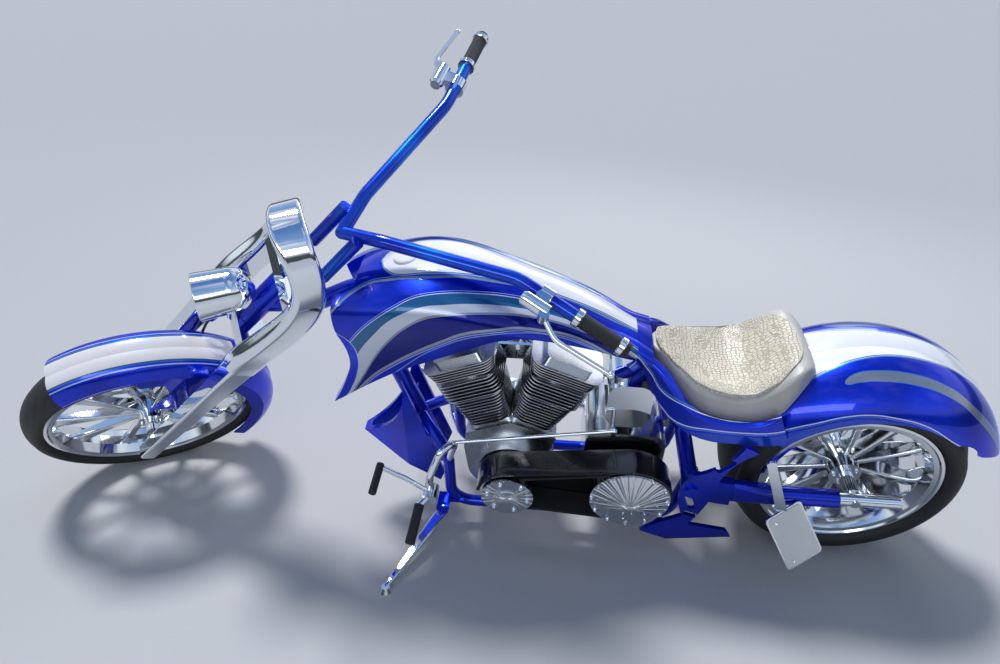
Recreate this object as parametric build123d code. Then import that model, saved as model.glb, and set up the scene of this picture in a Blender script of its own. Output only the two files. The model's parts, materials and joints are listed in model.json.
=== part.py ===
# A long, low custom motorcycle with a raked sculpted fork, a 45-degree V-twin with an open
# belt primary, a stretched one-piece tank, a one-piece seat rail and rear fender, and a very
# wide rear tyre.  Millimetres.  The machine is drawn upright and straight in its own frame
# (+X forward, +Y left, +Z up, rear tyre's lowest point at the origin); then the steering is
# turned onto its left stop and the whole machine leans onto its side stand, as it stands in use.
from build123d import *
import os
from math import sin, cos, tan, radians, degrees, sqrt, atan2, asin, hypot

os.makedirs("parts", exist_ok=True)

# Driving dimensions
# stance
WHEELBASE = 2082.0
RAKE = 44.5                 # steering axis from the vertical
FORK_OFFSET = 19.0          # front axle ahead of the steering axis
STEER_STOP = 34.5           # steering angle at each stop; at rest it lies on the left one
LEAN = 12.0                 # lean to the left on the side stand
STAND_RANGE = 100.0

# running gaps
SEAT_GAP = 0.3              # between pieces that bolt or rest on each other
RUN_FIT = 0.05              # radial play of a shaft in its bore

# rear wheel
REAR_TYRE_R = 333.0
REAR_TYRE_HALF = 147.0
REAR_CROWN_R = 245.0
REAR_LIP_R = 245.0
REAR_SEAT_R = 229.0
REAR_RIM_HALF = 132.0
REAR_HUB_R = 44.0
REAR_HUB_HALF = 100.0
REAR_SPOKES = 10
REAR_AXLE_R = 12.7

# front wheel
FRONT_TYRE_R = 335.0
FRONT_TYRE_HALF = 59.0
FRONT_CROWN_R = 70.0
FRONT_LIP_R = 281.0
FRONT_SEAT_R = 267.0
FRONT_RIM_HALF = 46.0
FRONT_HUB_R = 36.0
FRONT_HUB_HALF = 50.0
FRONT_SPOKES = 10
FRONT_AXLE_R = 10.0
FRONT_DISC_R = 146.0
FRONT_DISC_Y = 60.0

# fork and steering
LEG_Y = 130.0               # centre of each fork leg
LEG_LOW = (44.0, 44.0)      # leg's section at the axle: across, fore and aft
LEG_HIGH = (56.0, 68.0)     # and at the sleeve
LEG_TOP_T = 500.0           # along the leg, from the axle
LEG_TIP_T = -52.0
HEAD_T0 = 560.0             # head tube from here to there along the steering axis
HEAD_T1 = 745.0
HEAD_R = 33.0
STEM_R = 14.0
TREE_THICK = 32.0
BAR_R = 17.0
RISER_Y = 57.0
GRIP_R = 19.0

# engine and drive
CRANK_X = 950.0
CRANK_Z = 277.0
V_HALF = 22.5
DECK = 152.0                # crank centre to the cylinder's foot
BARREL = 118.0
HEAD_H = 78.0
FIN_PITCH = 11.0
FIN_THICK = 3.6
CYL_CORE_R = 56.0
CLUTCH_X = 606.0
CLUTCH_Z = 290.0
PULLEY_R = 74.0
CLUTCH_R = 112.0
PRIMARY_Y0 = 128.0          # inner face of the primary belt
PRIMARY_WIDE = 76.0

# frame
BACKBONE_R = 25.0
DOWNTUBE_R = 24.0
RAIL_R = 17.0
RAIL_Y = 122.0
RAIL_Z = 122.0
PIVOT_X = 445.0
PIVOT_Z = 352.0
LEFT_LEG_Y = 187.0          # swingarm legs; the right one clears the drive belt
RIGHT_LEG_Y = 222.0
SWING_R = 26.0
CARRIER_R = 18.0
PLATE_THICK = 12.0

# bodywork
FENDER_GAP = 62.0           # rear tyre to the fender's crown
REAR_FENDER_HALF = 178.0
SHEET = 5.0
FRONT_FENDER_GAP = 34.0
FRONT_FENDER_HALF = 78.0

# Helpers
SIDES = {"left": 1, "right": -1}


def rod(p, q, r, r2=None):
    """Round bar, or cone, from p to q."""
    a, b = Vector(*p), Vector(*q)
    plane = Plane(origin=a, z_dir=(b - a))
    if r2 is None or r2 == r:
        return Solid.make_cylinder(r, (b - a).length, plane)
    return Solid.make_cone(r, r2, (b - a).length, plane)


def across(x, z, y0, y1, r, r2=None):
    """Round bar along Y."""
    return rod((x, y0, z), (x, y1, z), r, r2)


def tube(points, r, bends):
    """Round tube along straight runs joined by tangent arcs."""
    path = FilletPolyline(*[Vector(*p) for p in points], radius=bends)
    return sweep(Plane(origin=path @ 0, z_dir=path % 0) * Circle(r), path)


def box(x0, x1, y0, y1, z0, z1):
    return Pos((x0 + x1) / 2, (y0 + y1) / 2, (z0 + z1) / 2) * Box(x1 - x0, y1 - y0, z1 - z0)


def side_face(*steps):
    """Closed XZ profile: each step is an end point, or a middle and an end point of an arc."""
    pts = [[Vector(p[0], 0, p[1]) for p in s] for s in steps]
    here = pts[0][-1]
    first = here
    edges = []
    for s in pts[1:]:
        edges.append(Line(here, s[0]) if len(s) == 1 else ThreePointArc(here, s[0], s[1]))
        here = s[-1]
    if (here - first).length > 1e-6:
        edges.append(Line(here, first))
    return make_face(edges)


def slab(face, y0, y1):
    """The XZ profile, from y0 to y1."""
    return extrude(Pos(0, min(y0, y1), 0) * face, amount=abs(y1 - y0), dir=(0, 1, 0))


def ring_loft(stations):
    """Loft of rounded rectangles: (origin, along, across, width across, depth, corner)."""
    faces = []
    for o, along, wide, w, d, c in stations:
        plane = Plane(origin=Vector(*o), x_dir=Vector(*wide), z_dir=Vector(*along))
        faces.append(plane * RectangleRounded(w, d, c))
    return loft(faces)


def both(shape):
    """A piece and its mirror image on the other side."""
    return [shape, mirror(shape, Plane.XZ)]


def largest(shape):
    """The biggest solid left by a cut."""
    return max(shape.solids(), key=lambda s: s.volume)


def cord(points, r):
    """Limp hose: straight runs joined by arcs as large as the runs allow."""
    pts = [Vector(*p) for p in points]
    radii = []
    for a, b, c in zip(pts, pts[1:], pts[2:]):
        half_turn = radians((b - a).get_angle(c - b)) / 2
        radii.append(0.45 * min((b - a).length, (c - b).length) / tan(half_turn))
    print("cord radii", [round(v) for v in radii])
    return tube(points, r, radii)


def one(*shapes):
    """Fuse pieces that are one casting or weldment."""
    out = shapes[0]
    for s in shapes[1:]:
        out = out + s
    return out


# steering geometry, straight ahead
S_DIR = Vector(-sin(radians(RAKE)), 0, cos(radians(RAKE)))
S_FWD = Vector(cos(radians(RAKE)), 0, sin(radians(RAKE)))
FRONT_AXLE = Vector(WHEELBASE, 0, FRONT_TYRE_R)
STEER_FOOT = FRONT_AXLE - S_FWD * FORK_OFFSET
REAR_AXLE = Vector(0, 0, REAR_TYRE_R)


def on_leg(t, y=0.0, fwd=0.0):
    """A point at t up the fork leg's line from the axle."""
    return FRONT_AXLE + S_DIR * t + S_FWD * fwd + Vector(0, y, 0)


def on_head(t, y=0.0, fwd=0.0):
    """A point at t up the steering axis."""
    return STEER_FOOT + S_DIR * t + S_FWD * fwd + Vector(0, y, 0)


def t3(v):
    return (v.X, v.Y, v.Z)


def fore(back, y, z):
    """A point measured back from the front axle, which moves with the wheelbase."""
    return Vector(WHEELBASE - back, y, z)


# Rest pose: steering on its left stop, both tyres and the stand's foot on the ground
def turn(v, axis, deg):
    """Rotate a vector about a unit axis through the origin."""
    a = radians(deg)
    return v * cos(a) + axis.cross(v) * sin(a) + axis * (axis.dot(v) * (1 - cos(a)))


def lowest(centre, axle, r, crown):
    """Height of the lowest point of a tyre with a round crown."""
    return centre.Z - (r - crown) * sqrt(1 - axle.Z ** 2) - crown


PITCH = 0.0
for _ in range(12):
    lean = lambda v: turn(turn(v, Vector(0, 1, 0), PITCH), Vector(1, 0, 0), -LEAN)
    steered = STEER_FOOT + turn(FRONT_AXLE - STEER_FOOT, S_DIR, STEER_STOP)
    front_n = turn(Vector(0, 1, 0), S_DIR, STEER_STOP)
    z_rear = lowest(lean(REAR_AXLE), lean(Vector(0, 1, 0)), REAR_TYRE_R, REAR_CROWN_R)
    z_front = lowest(lean(steered), lean(front_n), FRONT_TYRE_R, FRONT_CROWN_R)
    PITCH += degrees((z_front - z_rear) / WHEELBASE)
LIFT = -z_rear
STAND = Location((0, 0, LIFT), (-LEAN, PITCH, 0))
STEER_AXIS = Axis(t3(STEER_FOOT), t3(S_DIR))
UP = turn(turn(Vector(0, 0, 1), Vector(1, 0, 0), LEAN), Vector(0, 1, 0), -PITCH)


def ground_z(x, y):
    """Height of the ground in the machine's own frame, under (x, y)."""
    return -(LIFT + UP.X * x + UP.Y * y) / UP.Z


bodies = {"frame": {}, "steering": {}, "front_wheel": {}, "rear_wheel": {}, "side_stand": {}}


# Wheels
def tyre(r, half, crown, seat_r, lip_r, rim_half):
    """Road tyre about the Y axis, at the origin: crown arc, shoulders, side walls and beads."""
    ys = 0.8 * half
    rs = r - crown + sqrt(crown ** 2 - ys ** 2)
    wall = 10.0
    bead = seat_r + SEAT_GAP
    yb = rim_half - 6.0
    mid = (rs + lip_r) / 2
    pts = lambda y, rr: Vector(0, y, rr)
    e = [
        ThreePointArc(pts(-ys, rs), pts(0, r), pts(ys, rs)),
        ThreePointArc(pts(ys, rs), pts(half, mid), pts(yb, lip_r + 1)),
        Line(pts(yb, lip_r + 1), pts(yb, bead)),
        Line(pts(yb, bead), pts(yb - 14, bead)),
        Line(pts(yb - 14, bead), pts(yb - 13, lip_r + 2)),
        ThreePointArc(pts(yb - 13, lip_r + 2), pts(half - wall, mid), pts(ys - 6, rs - wall)),
        ThreePointArc(pts(ys - 6, rs - wall), pts(0, r - wall - 3), pts(6 - ys, rs - wall)),
        ThreePointArc(pts(6 - ys, rs - wall), pts(wall - half, mid), pts(13 - yb, lip_r + 2)),
        Line(pts(13 - yb, lip_r + 2), pts(14 - yb, bead)),
        Line(pts(14 - yb, bead), pts(-yb, bead)),
        Line(pts(-yb, bead), pts(-yb, lip_r + 1)),
        ThreePointArc(pts(-yb, lip_r + 1), pts(-half, mid), pts(-ys, rs)),
    ]
    return revolve(make_face(e), axis=Axis.Y)


def rim(seat_r, lip_r, rim_half, well):
    """Rim barrel with its drop centre and rolled lips, about the Y axis."""
    p = lambda y, rr: Vector(0, y, rr)
    yb = rim_half - 6.0 + SEAT_GAP
    outer = [p(-rim_half, lip_r), p(-yb, lip_r - 3), p(-yb, seat_r), p(-yb + 22, seat_r - 3), p(-yb + 30, well + 8),
             p(yb - 30, well + 8), p(yb - 22, seat_r - 3), p(yb, seat_r), p(yb, lip_r - 3), p(rim_half, lip_r)]
    inner = [p(rim_half, lip_r - 8), p(yb + 1, lip_r - 12), p(yb, seat_r - 9), p(yb - 26, well), p(-yb + 26, well),
             p(-yb, seat_r - 9), p(-yb - 1, lip_r - 12), p(-rim_half, lip_r - 8)]
    return revolve(make_face(Polyline(*outer, *inner, close=True)), axis=Axis.Y)


def spoke(r0, r1, y0, y1, wide0, wide1, deep0, deep1, twist):
    """Billet blade from the hub to the rim, turning about its own length."""
    out = []
    for k, rr in enumerate((r0, (r0 + r1) / 2, r1)):
        f = k / 2
        a = radians(twist * f)
        wide = wide0 + (wide1 - wide0) * f ** 2
        deep = deep0 + (deep1 - deep0) * f
        out.append(((0, y0 + (y1 - y0) * f, rr), (0, 0, 1), (cos(a), sin(a), 0), wide, deep, min(wide, deep) * 0.3))
    return ring_loft(out)


def about_y(shape, deg):
    return shape.rotate(Axis.Y, deg)


front_rim = rim(FRONT_SEAT_R, FRONT_LIP_R, FRONT_RIM_HALF, 246.0)
front_hub = across(0, 0, -FRONT_HUB_HALF, FRONT_HUB_HALF, FRONT_HUB_R)
fw = one(front_rim, front_hub)
for k in range(FRONT_SPOKES):
    fw = fw + about_y(spoke(FRONT_HUB_R - 6, 250.0, 0, 0, 13, 34, 44, 26, 24), k * 360 / FRONT_SPOKES)
fw = fw - across(0, 0, -FRONT_HUB_HALF - 1, FRONT_HUB_HALF + 1, FRONT_AXLE_R + RUN_FIT)
AT_FRONT = Pos(*t3(FRONT_AXLE))
bodies["front_wheel"]["front_wheel_rim"] = AT_FRONT * fw
bodies["front_wheel"]["front_tyre"] = AT_FRONT * tyre(
    FRONT_TYRE_R, FRONT_TYRE_HALF, FRONT_CROWN_R, FRONT_SEAT_R, FRONT_LIP_R, FRONT_RIM_HALF)
# brake disc on the right, on a stepped carrier
disc = across(0, 0, -FRONT_DISC_Y - 5, -FRONT_DISC_Y, FRONT_DISC_R)
disc = disc - across(0, 0, -FRONT_DISC_Y - 6, -FRONT_DISC_Y + 1, 96)
carrier = across(0, 0, -FRONT_DISC_Y - 5, -FRONT_DISC_Y, 50)
for k in range(5):
    carrier = carrier + about_y(box(-9, 9, -FRONT_DISC_Y - 4, -FRONT_DISC_Y, 40, 100), k * 72)
neck = across(0, 0, -FRONT_DISC_Y, -FRONT_HUB_HALF - SEAT_GAP, 30)
disc_bore = across(0, 0, -FRONT_DISC_Y - 6, -FRONT_HUB_HALF + 1, FRONT_AXLE_R + RUN_FIT)
bodies["front_wheel"]["front_disc"] = AT_FRONT * (one(disc, carrier, neck) - disc_bore)

rear_hub = across(0, 0, -REAR_HUB_HALF, REAR_HUB_HALF, REAR_HUB_R)
rw = one(rim(REAR_SEAT_R, REAR_LIP_R, REAR_RIM_HALF, 206.0), rear_hub)
for k in range(REAR_SPOKES):
    rw = rw + about_y(spoke(REAR_HUB_R - 8, 211.0, 30, 40, 16, 40, 70, 34, 20), k * 360 / REAR_SPOKES)
rw = rw - across(0, 0, -REAR_HUB_HALF - 1, REAR_HUB_HALF + 1, REAR_AXLE_R + RUN_FIT)
AT_REAR = Pos(*t3(REAR_AXLE))
bodies["rear_wheel"]["rear_wheel_rim"] = AT_REAR * rw
bodies["rear_wheel"]["rear_tyre"] = AT_REAR * tyre(
    REAR_TYRE_R, REAR_TYRE_HALF, REAR_CROWN_R, REAR_SEAT_R, REAR_LIP_R, REAR_RIM_HALF)

# final drive on the right: belt, pulleys and the brake disc inboard of the pulley
BELT_Y0, BELT_Y1 = -154.0, -180.0
REAR_PULLEY_R = 148.0
GEARBOX_PULLEY_R = 68.0
BELT_THICK = 5.0
REAR_DISC_R = 142.0
REAR_DISC_Y = -128.0
pulley = across(0, 0, BELT_Y1 - 3, BELT_Y0 + 3, REAR_PULLEY_R - 1.5)
for k in range(5):
    pulley = pulley - about_y(across(0, 92, BELT_Y1 - 5, BELT_Y0 + 5, 30), k * 72)
flange = across(0, 0, BELT_Y1 - 5, BELT_Y1 - 3, REAR_PULLEY_R + 5)
flange = flange - across(0, 0, BELT_Y1 - 6, BELT_Y1 - 2, REAR_PULLEY_R - 20)
disc2 = across(0, 0, REAR_DISC_Y - 6, REAR_DISC_Y, REAR_DISC_R) - across(0, 0, REAR_DISC_Y - 7, REAR_DISC_Y + 1, 100)
for k in range(5):
    disc2 = disc2 + about_y(box(-9, 9, REAR_DISC_Y - 5, REAR_DISC_Y - 1, 50, 104), k * 72 + 36)
boss = across(0, 0, BELT_Y0 + 3, -REAR_HUB_HALF - SEAT_GAP, 56)
drive = one(pulley, flange, disc2, boss) - across(0, 0, -200, -90, REAR_AXLE_R + RUN_FIT)
bodies["rear_wheel"]["rear_pulley"] = AT_REAR * drive

# Steering body
st = bodies["steering"]
DIR3 = t3(S_DIR)

FENDER_LUGS = [(150.0, -2.0), (215.0, -4.0)]      # along the leg, fore and aft


def fork_leg(sy):
    """Flat-sided leg, square cut below the axle, with two lugs that carry the fender's skirt."""
    y = sy * LEG_Y
    leg = ring_loft([
        (t3(on_leg(LEG_TIP_T, y)), DIR3, (0, 1, 0), LEG_LOW[0], LEG_LOW[1], 7),
        (t3(on_leg(LEG_TOP_T, y)), DIR3, (0, 1, 0), LEG_HIGH[0], LEG_HIGH[1], 10)])
    for t, f in FENDER_LUGS:
        c = on_leg(t, 0, f)
        leg = leg + across(c.X, c.Z, sy * (FRONT_FENDER_HALF + SEAT_GAP), sy * (LEG_Y - 15), 9)
    return leg - across(WHEELBASE, FRONT_TYRE_R, sy * (LEG_Y - 40), sy * (LEG_Y + 12), FRONT_AXLE_R)


def leg_wide(t):
    """Width of the leg across, at t."""
    return LEG_LOW[0] + (LEG_HIGH[0] - LEG_LOW[0]) * (t - LEG_TIP_T) / (LEG_TOP_T - LEG_TIP_T)


st["fork_legs"] = [fork_leg(1), fork_leg(-1)]
SPACER_R = 17.0
spacer_end = LEG_Y - leg_wide(SPACER_R) / 2 - SEAT_GAP
st["front_axle"] = one(
    across(WHEELBASE, FRONT_TYRE_R, -LEG_Y - 12, LEG_Y + 12, FRONT_AXLE_R),
    across(WHEELBASE, FRONT_TYRE_R, FRONT_HUB_HALF + SEAT_GAP, spacer_end, SPACER_R),
    across(WHEELBASE, FRONT_TYRE_R, -FRONT_DISC_Y - 5 - SEAT_GAP, -spacer_end, SPACER_R))

# the arch: from each leg's sleeve it swings up and over the steering head
ARCH = [
    # x, y, z, along, width axis, width, thickness, corner
    (on_leg(LEG_TOP_T + SEAT_GAP, LEG_Y), S_DIR, S_FWD, 92.0, 62.0, 26.0),
    (fore(427, 132, 765), Vector(-0.66, 0, 0.75), Vector(0.75, 0, 0.66), 96.0, 60.0, 24.0),
    (fore(522, 132, 842), Vector(-0.62, 0.02, 0.78), Vector(0.78, 0, 0.62), 92.0, 50.0, 20.0),
    (fore(577, 126, 925), Vector(-0.28, -0.16, 0.94), Vector(0.95, 0, 0.28), 84.0, 40.0, 16.0),
    (fore(590, 104, 1000), Vector(-0.02, -0.5, 0.86), Vector(1, 0, 0.02), 80.0, 34.0, 14.0),
    (fore(586, 62, 1050), Vector(0.02, -0.85, 0.52), Vector(1, 0, 0), 84.0, 32.0, 13.0),
    (fore(582, 0, 1068), Vector(0, -1, 0), Vector(1, 0, 0), 88.0, 32.0, 13.0),
]
half_arch = ring_loft([(t3(o), t3(a), t3(w), wd, th, c) for o, a, w, wd, th, c in ARCH])
arch = half_arch + mirror(half_arch, Plane.XZ)
st["fork_arch"] = arch

# trees and stem
TREE_LOW_T = HEAD_T0 - TREE_THICK - 1.0
TREE_TOP_T = HEAD_T1 + 1.0


def tree(t, wide, deep):
    plane = Plane(origin=on_head(t), x_dir=(0, 1, 0), z_dir=S_DIR)
    return extrude(plane * RectangleRounded(wide, deep, 20), amount=TREE_THICK)


lower_tree = tree(TREE_LOW_T, 2 * LEG_Y - 10, 78)
upper_tree = tree(TREE_TOP_T, 2 * LEG_Y - 10, 78)
stem = rod(t3(on_head(TREE_LOW_T)), t3(on_head(TREE_TOP_T + TREE_THICK + 14)), STEM_R)
stem_nut = rod(t3(on_head(TREE_TOP_T + TREE_THICK)), t3(on_head(TREE_TOP_T + TREE_THICK + 12)), 21)
LAMP_C = fore(378, 0, 863)
LAMP_TILT = 6.0
lamp_stalk = rod(t3(on_head(538, 0, 40)), t3(LAMP_C + Vector(-10, 0, -40)), 11)
RISER_FOOT = on_head(TREE_TOP_T + TREE_THICK, 0, -34)
RISER_TOP = fore(730, 55, 1012)
riser_lines = []
for sy in (1, -1):
    foot = Vector(RISER_FOOT.X, sy * RISER_Y, RISER_FOOT.Z)
    riser_lines.append((foot, Vector(RISER_TOP.X, sy * RISER_TOP.Y, RISER_TOP.Z)))
BUSH = 0.30                 # share of the riser's length that is its rubber-mounted foot
trees = one(lower_tree, upper_tree, stem, stem_nut)
for p, q in riser_lines:
    trees = trees + rod(t3(p - (q - p) * 0.04), t3(p + (q - p) * BUSH), 15)

# inner sliders under the lower tree, inboard of the legs, with a tapered foot
SLIDER_Y = 80.5
SLIDER_R = 16.0
SLIDER_FWD = -8.0
st["fork_sliders"] = both(one(
    rod(t3(on_leg(445, SLIDER_Y, SLIDER_FWD)), t3(on_leg(TREE_LOW_T - SEAT_GAP, SLIDER_Y, SLIDER_FWD)), SLIDER_R),
    rod(t3(on_leg(400, SLIDER_Y, SLIDER_FWD)), t3(on_leg(445, SLIDER_Y, SLIDER_FWD)), 11, SLIDER_R)))

# handlebar: two risers into a one-piece swept V
BAR_NOSE = fore(702, 0, 987)
BAR_SHOULDER = fore(784, 72, 1016)
BAR_BEND = fore(1061, 279, 1032)
BAR_END = fore(1242, 515, 1003)
left_bar = tube([t3(BAR_NOSE), t3(BAR_SHOULDER), t3(BAR_BEND), t3(BAR_END)], BAR_R, [90, 140])
bar = one(left_bar, mirror(left_bar, Plane.XZ), Pos(*t3(BAR_NOSE)) * Sphere(BAR_R))
for p, q in riser_lines:
    bar = bar + rod(t3(p + (q - p) * (BUSH + 0.002)), t3(q), 17)
st["handlebar"] = bar
GRIP_LINE = (BAR_END - BAR_BEND).normalized()
GRIP_LONG = 128.0


def on_bar(back, sy=1):
    """A point on the bar's last straight, measured back from its end."""
    v = BAR_END - GRIP_LINE * back
    return Vector(v.X, sy * v.Y, v.Z)


def bar_way(sy):
    return Vector(GRIP_LINE.X, sy * GRIP_LINE.Y, GRIP_LINE.Z)


def grip(sy):
    """Rubber grip with a collar at its inner end and a cap over the bar's end."""
    a, b, d = on_bar(GRIP_LONG, sy), on_bar(0, sy), bar_way(sy)
    g = one(rod(t3(a), t3(b + d * 6), GRIP_R), rod(t3(a - d * 10), t3(a), GRIP_R + 4),
            rod(t3(b + d * 6), t3(b + d * 12), GRIP_R - 3))
    return g - rod(t3(a - d * 30), t3(b + d * SEAT_GAP), BAR_R + SEAT_GAP)


st["grips"] = [grip(1), grip(-1)]


CONTROL_IN = 92.0           # from the grip's inner end to the control's clamp


def hand_control(sy):
    """Perch and reservoir clamped inboard of the grip, with its lever."""
    c, d = on_bar(GRIP_LONG + CONTROL_IN, sy), bar_way(sy)
    f = Vector(-d.Y * sy, d.X * sy, 0).normalized() * -sy
    f = f if f.X > 0 else f * -1
    clamp = rod(t3(c - d * 16), t3(c + d * 16), BAR_R + 9)
    plane = lambda p: Plane(origin=p, x_dir=(d.X, d.Y, 0), z_dir=(0, 0, 1))
    up = Vector(0, 0, 1)
    reservoir = rod(t3(c + f * 44 - d * 34 + up * 24), t3(c + f * 44 + d * 30 + up * 24), 19)
    cap = rod(t3(c + f * 44 - d * 42 + up * 24), t3(c + f * 44 - d * 34 + up * 24), 14, 19)
    arm = plane(c + f * 26 + up * 8) * extrude(RectangleRounded(34, 40, 6), amount=22)
    knuckle = rod(t3(c + f * 58 + d * 26 + up * 8), t3(c + f * 58 + d * 26 + up * 40), 13)
    lever = tube([t3(c + f * 58 + d * 28 + up * 17), t3(c + f * 84 + d * 76 + up * 6), t3(c + f * 74 + d * 225 - up * 6)],
                 6.5, [50])
    tip = Pos(*t3(c + f * 74 + d * 225 - up * 6)) * Sphere(9)
    return one(clamp, arm, reservoir, cap, knuckle, lever, tip) - rod(t3(c - d * 40), t3(c + d * 40), BAR_R + SEAT_GAP)


st["hand_controls"] = [hand_control(1), hand_control(-1)]

# headlight: bullet shell and lens, on the stalk between the legs
LAMP_R = 63.0
lamp_profile = make_face([
    ThreePointArc((-78, 0), (-58, 44), (-10, 60)), Line((-10, 60), (66, LAMP_R)), Line((66, LAMP_R), (66, 57)),
    Line((66, 57), (58, 56)), Line((58, 56), (58, 0)), Line((58, 0), (-78, 0))])
AT_LAMP = Location(t3(LAMP_C), (0, -LAMP_TILT, 0))
lamp = AT_LAMP * revolve(lamp_profile, axis=Axis.X)
st["headlight"] = lamp
LENS_R, LENS_RISE = 55.5, 9.0
lens_ball = (LENS_R ** 2 + LENS_RISE ** 2) / (2 * LENS_RISE)
lens = rod((58 + SEAT_GAP, 0, 0), (90, 0, 0), LENS_R) & (Pos(63 + LENS_RISE - lens_ball, 0, 0) * Sphere(lens_ball))
st["headlight_lens"] = AT_LAMP * lens
st["fork_trees"] = one(trees, lamp_stalk) - arch - lamp

# front fender: round-shouldered shell about the wheel, with a skirt down to each leg
FENDER_R = FRONT_TYRE_R + FRONT_FENDER_GAP
FRONT_EDGE_R = 318.0
A_TIP, A_TAIL = 68.0, 230.0


def fender_outline(crown, half, edge, shoulder_r, rise):
    """Section of a fender: straight sides from the edge up to the shoulders, and a crown."""
    p = lambda y, rr: Vector(rr, y, 0)
    return make_face([
        Line(p(-half, edge), p(-half, shoulder_r)),
        ThreePointArc(p(-half, shoulder_r), p(-half * 0.72, crown - rise), p(0, crown)),
        ThreePointArc(p(0, crown), p(half * 0.72, crown - rise), p(half, shoulder_r)),
        Line(p(half, shoulder_r), p(half, edge)),
        Line(p(half, edge), p(-half, edge))])


def fender_shell(crown_r, half, edge_r, a0, a1, sheet, shoulder):
    """Shell of a round-shouldered section turned about the Y axis from a0 to a1 degrees."""
    low, rise = crown_r - shoulder, shoulder * 0.30
    outer = fender_outline(crown_r, half, edge_r, low, rise)
    inner = fender_outline(crown_r - sheet, half - sheet, edge_r - 5, low, rise)
    shell = revolve(outer, axis=Axis.Y, revolution_arc=a1 - a0) - revolve(inner, axis=Axis.Y, revolution_arc=a1 - a0)
    # revolve about +Y carries +X towards -Z: start at the far end so that angles run up from +X
    return shell.rotate(Axis.Y, -a1)


ff = AT_FRONT * fender_shell(FENDER_R, FRONT_FENDER_HALF, 290.0, A_TIP, A_TAIL, SHEET, 40.0)
# the front half's lower edge is trimmed higher, ahead of the skirt
trim = across(WHEELBASE, FRONT_TYRE_R, -FRONT_FENDER_HALF - 5, FRONT_FENDER_HALF + 5, FRONT_EDGE_R)
ff = ff - (trim & box(WHEELBASE - 70, WHEELBASE + 400, -200, 200, 0, 900))
# x and z from the front axle; its upper edge stays under the shell's shoulder
skirt_profile = AT_FRONT * side_face(
    [(-70, 320)], [(-79, 307)], [(-120, 277), (-124, 238)], [(-116, 195), (-86, 161)], [(-42, 134)],
    [(-97, 105)], [(-152, 97)], [(-202, 135)], [(-260, 145)], [(-260, 195)], [(-212, 242)], [(-132, 298)])
for sy in (1, -1):
    ff = ff + slab(skirt_profile, sy * (FRONT_FENDER_HALF - SHEET), sy * FRONT_FENDER_HALF)
st["front_fender"] = ff

# front brake caliper behind the right leg, over the disc's rear edge, on an arm from the leg
CALIPER_T, CALIPER_FWD = 98.0, -78.0
leg_plane = lambda t, y, fwd: Plane(origin=on_leg(t, y, fwd), x_dir=(0, 1, 0), z_dir=S_DIR)
disc_mid = -FRONT_DISC_Y - 2.5
cal = leg_plane(CALIPER_T, disc_mid, CALIPER_FWD) * Box(40, 56, 84)
cal = cal - across(WHEELBASE, FRONT_TYRE_R, disc_mid - 6, disc_mid + 6, FRONT_DISC_R + 6)
arm_out, arm_in = LEG_Y - 24.5, FRONT_DISC_Y + 22.0
cal_arm = leg_plane(CALIPER_T, -(arm_out + arm_in) / 2, -48) * Box(arm_out - arm_in, 96, 52)
st["front_caliper"] = one(cal, cal_arm) - st["fork_legs"][1]
# brake hose from the lower tree, down inside the right leg to the caliper
HOSE_R = 4.0
FRONT_HOSE = [
    # up the leg's line, across, ahead of it
    (TREE_LOW_T - SEAT_GAP, -48, 22), (450, -56, 16), (385, -72, 0), (335, -90, -24),
    (270, -91, -40), (205, -91, -52), (165, -85, -70), (142, -78, -80)]
st["front_brake_hose"] = cord([t3(on_leg(t, y, f)) for t, y, f in FRONT_HOSE], HOSE_R)

# Frame body: chassis
fr = bodies["frame"]
head = rod(t3(on_head(HEAD_T0)), t3(on_head(HEAD_T1)), HEAD_R)
head = head - rod(t3(on_head(HEAD_T0 - 5)), t3(on_head(HEAD_T1 + 5)), STEM_R + RUN_FIT)
BACKBONE = [
    t3(fore(448, 0, 764)), t3(fore(602, 0, 775)), t3(fore(717, 0, 835)), t3(fore(902, 0, 880)),
    (900, 0, 830), (640, 0, 700), (515, 0, 560), (470, 0, 400)]
BACKBONE_BENDS = [200, 300, 400, 400, 300, 200]
DOWN_TOP, DOWN_FOOT = t3(fore(711, 0, 836)), (1160, 0, 180)
backbone = tube(BACKBONE, BACKBONE_R, BACKBONE_BENDS) - rod(t3(on_head(HEAD_T0 - 40)), t3(on_head(HEAD_T1 + 40)), HEAD_R - 2)
fr["frame_backbone"] = one(head, backbone)
fr["frame_downtube"] = largest(rod(DOWN_TOP, DOWN_FOOT, DOWNTUBE_R) - fr["frame_backbone"])


def on_downtube(z):
    """How far forward the downtube's centre lies at a height."""
    return DOWN_FOOT[0] + (z - DOWN_FOOT[2]) * (DOWN_TOP[0] - DOWN_FOOT[0]) / (DOWN_TOP[2] - DOWN_FOOT[2])


CRADLE_TOP_Z = 385.0


def cradle(sy):
    """From the downtube out and down, back under the engine and up to the swingarm's pivot."""
    y = sy * RAIL_Y
    top_x = on_downtube(CRADLE_TOP_Z) - 3.94
    return tube([(top_x, sy * 10, CRADLE_TOP_Z), (1128, y, 330), (1126, y, RAIL_Z), (470, y, RAIL_Z), (430, y, PIVOT_Z - 8)],
                RAIL_R, [40, 70, 70])


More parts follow.
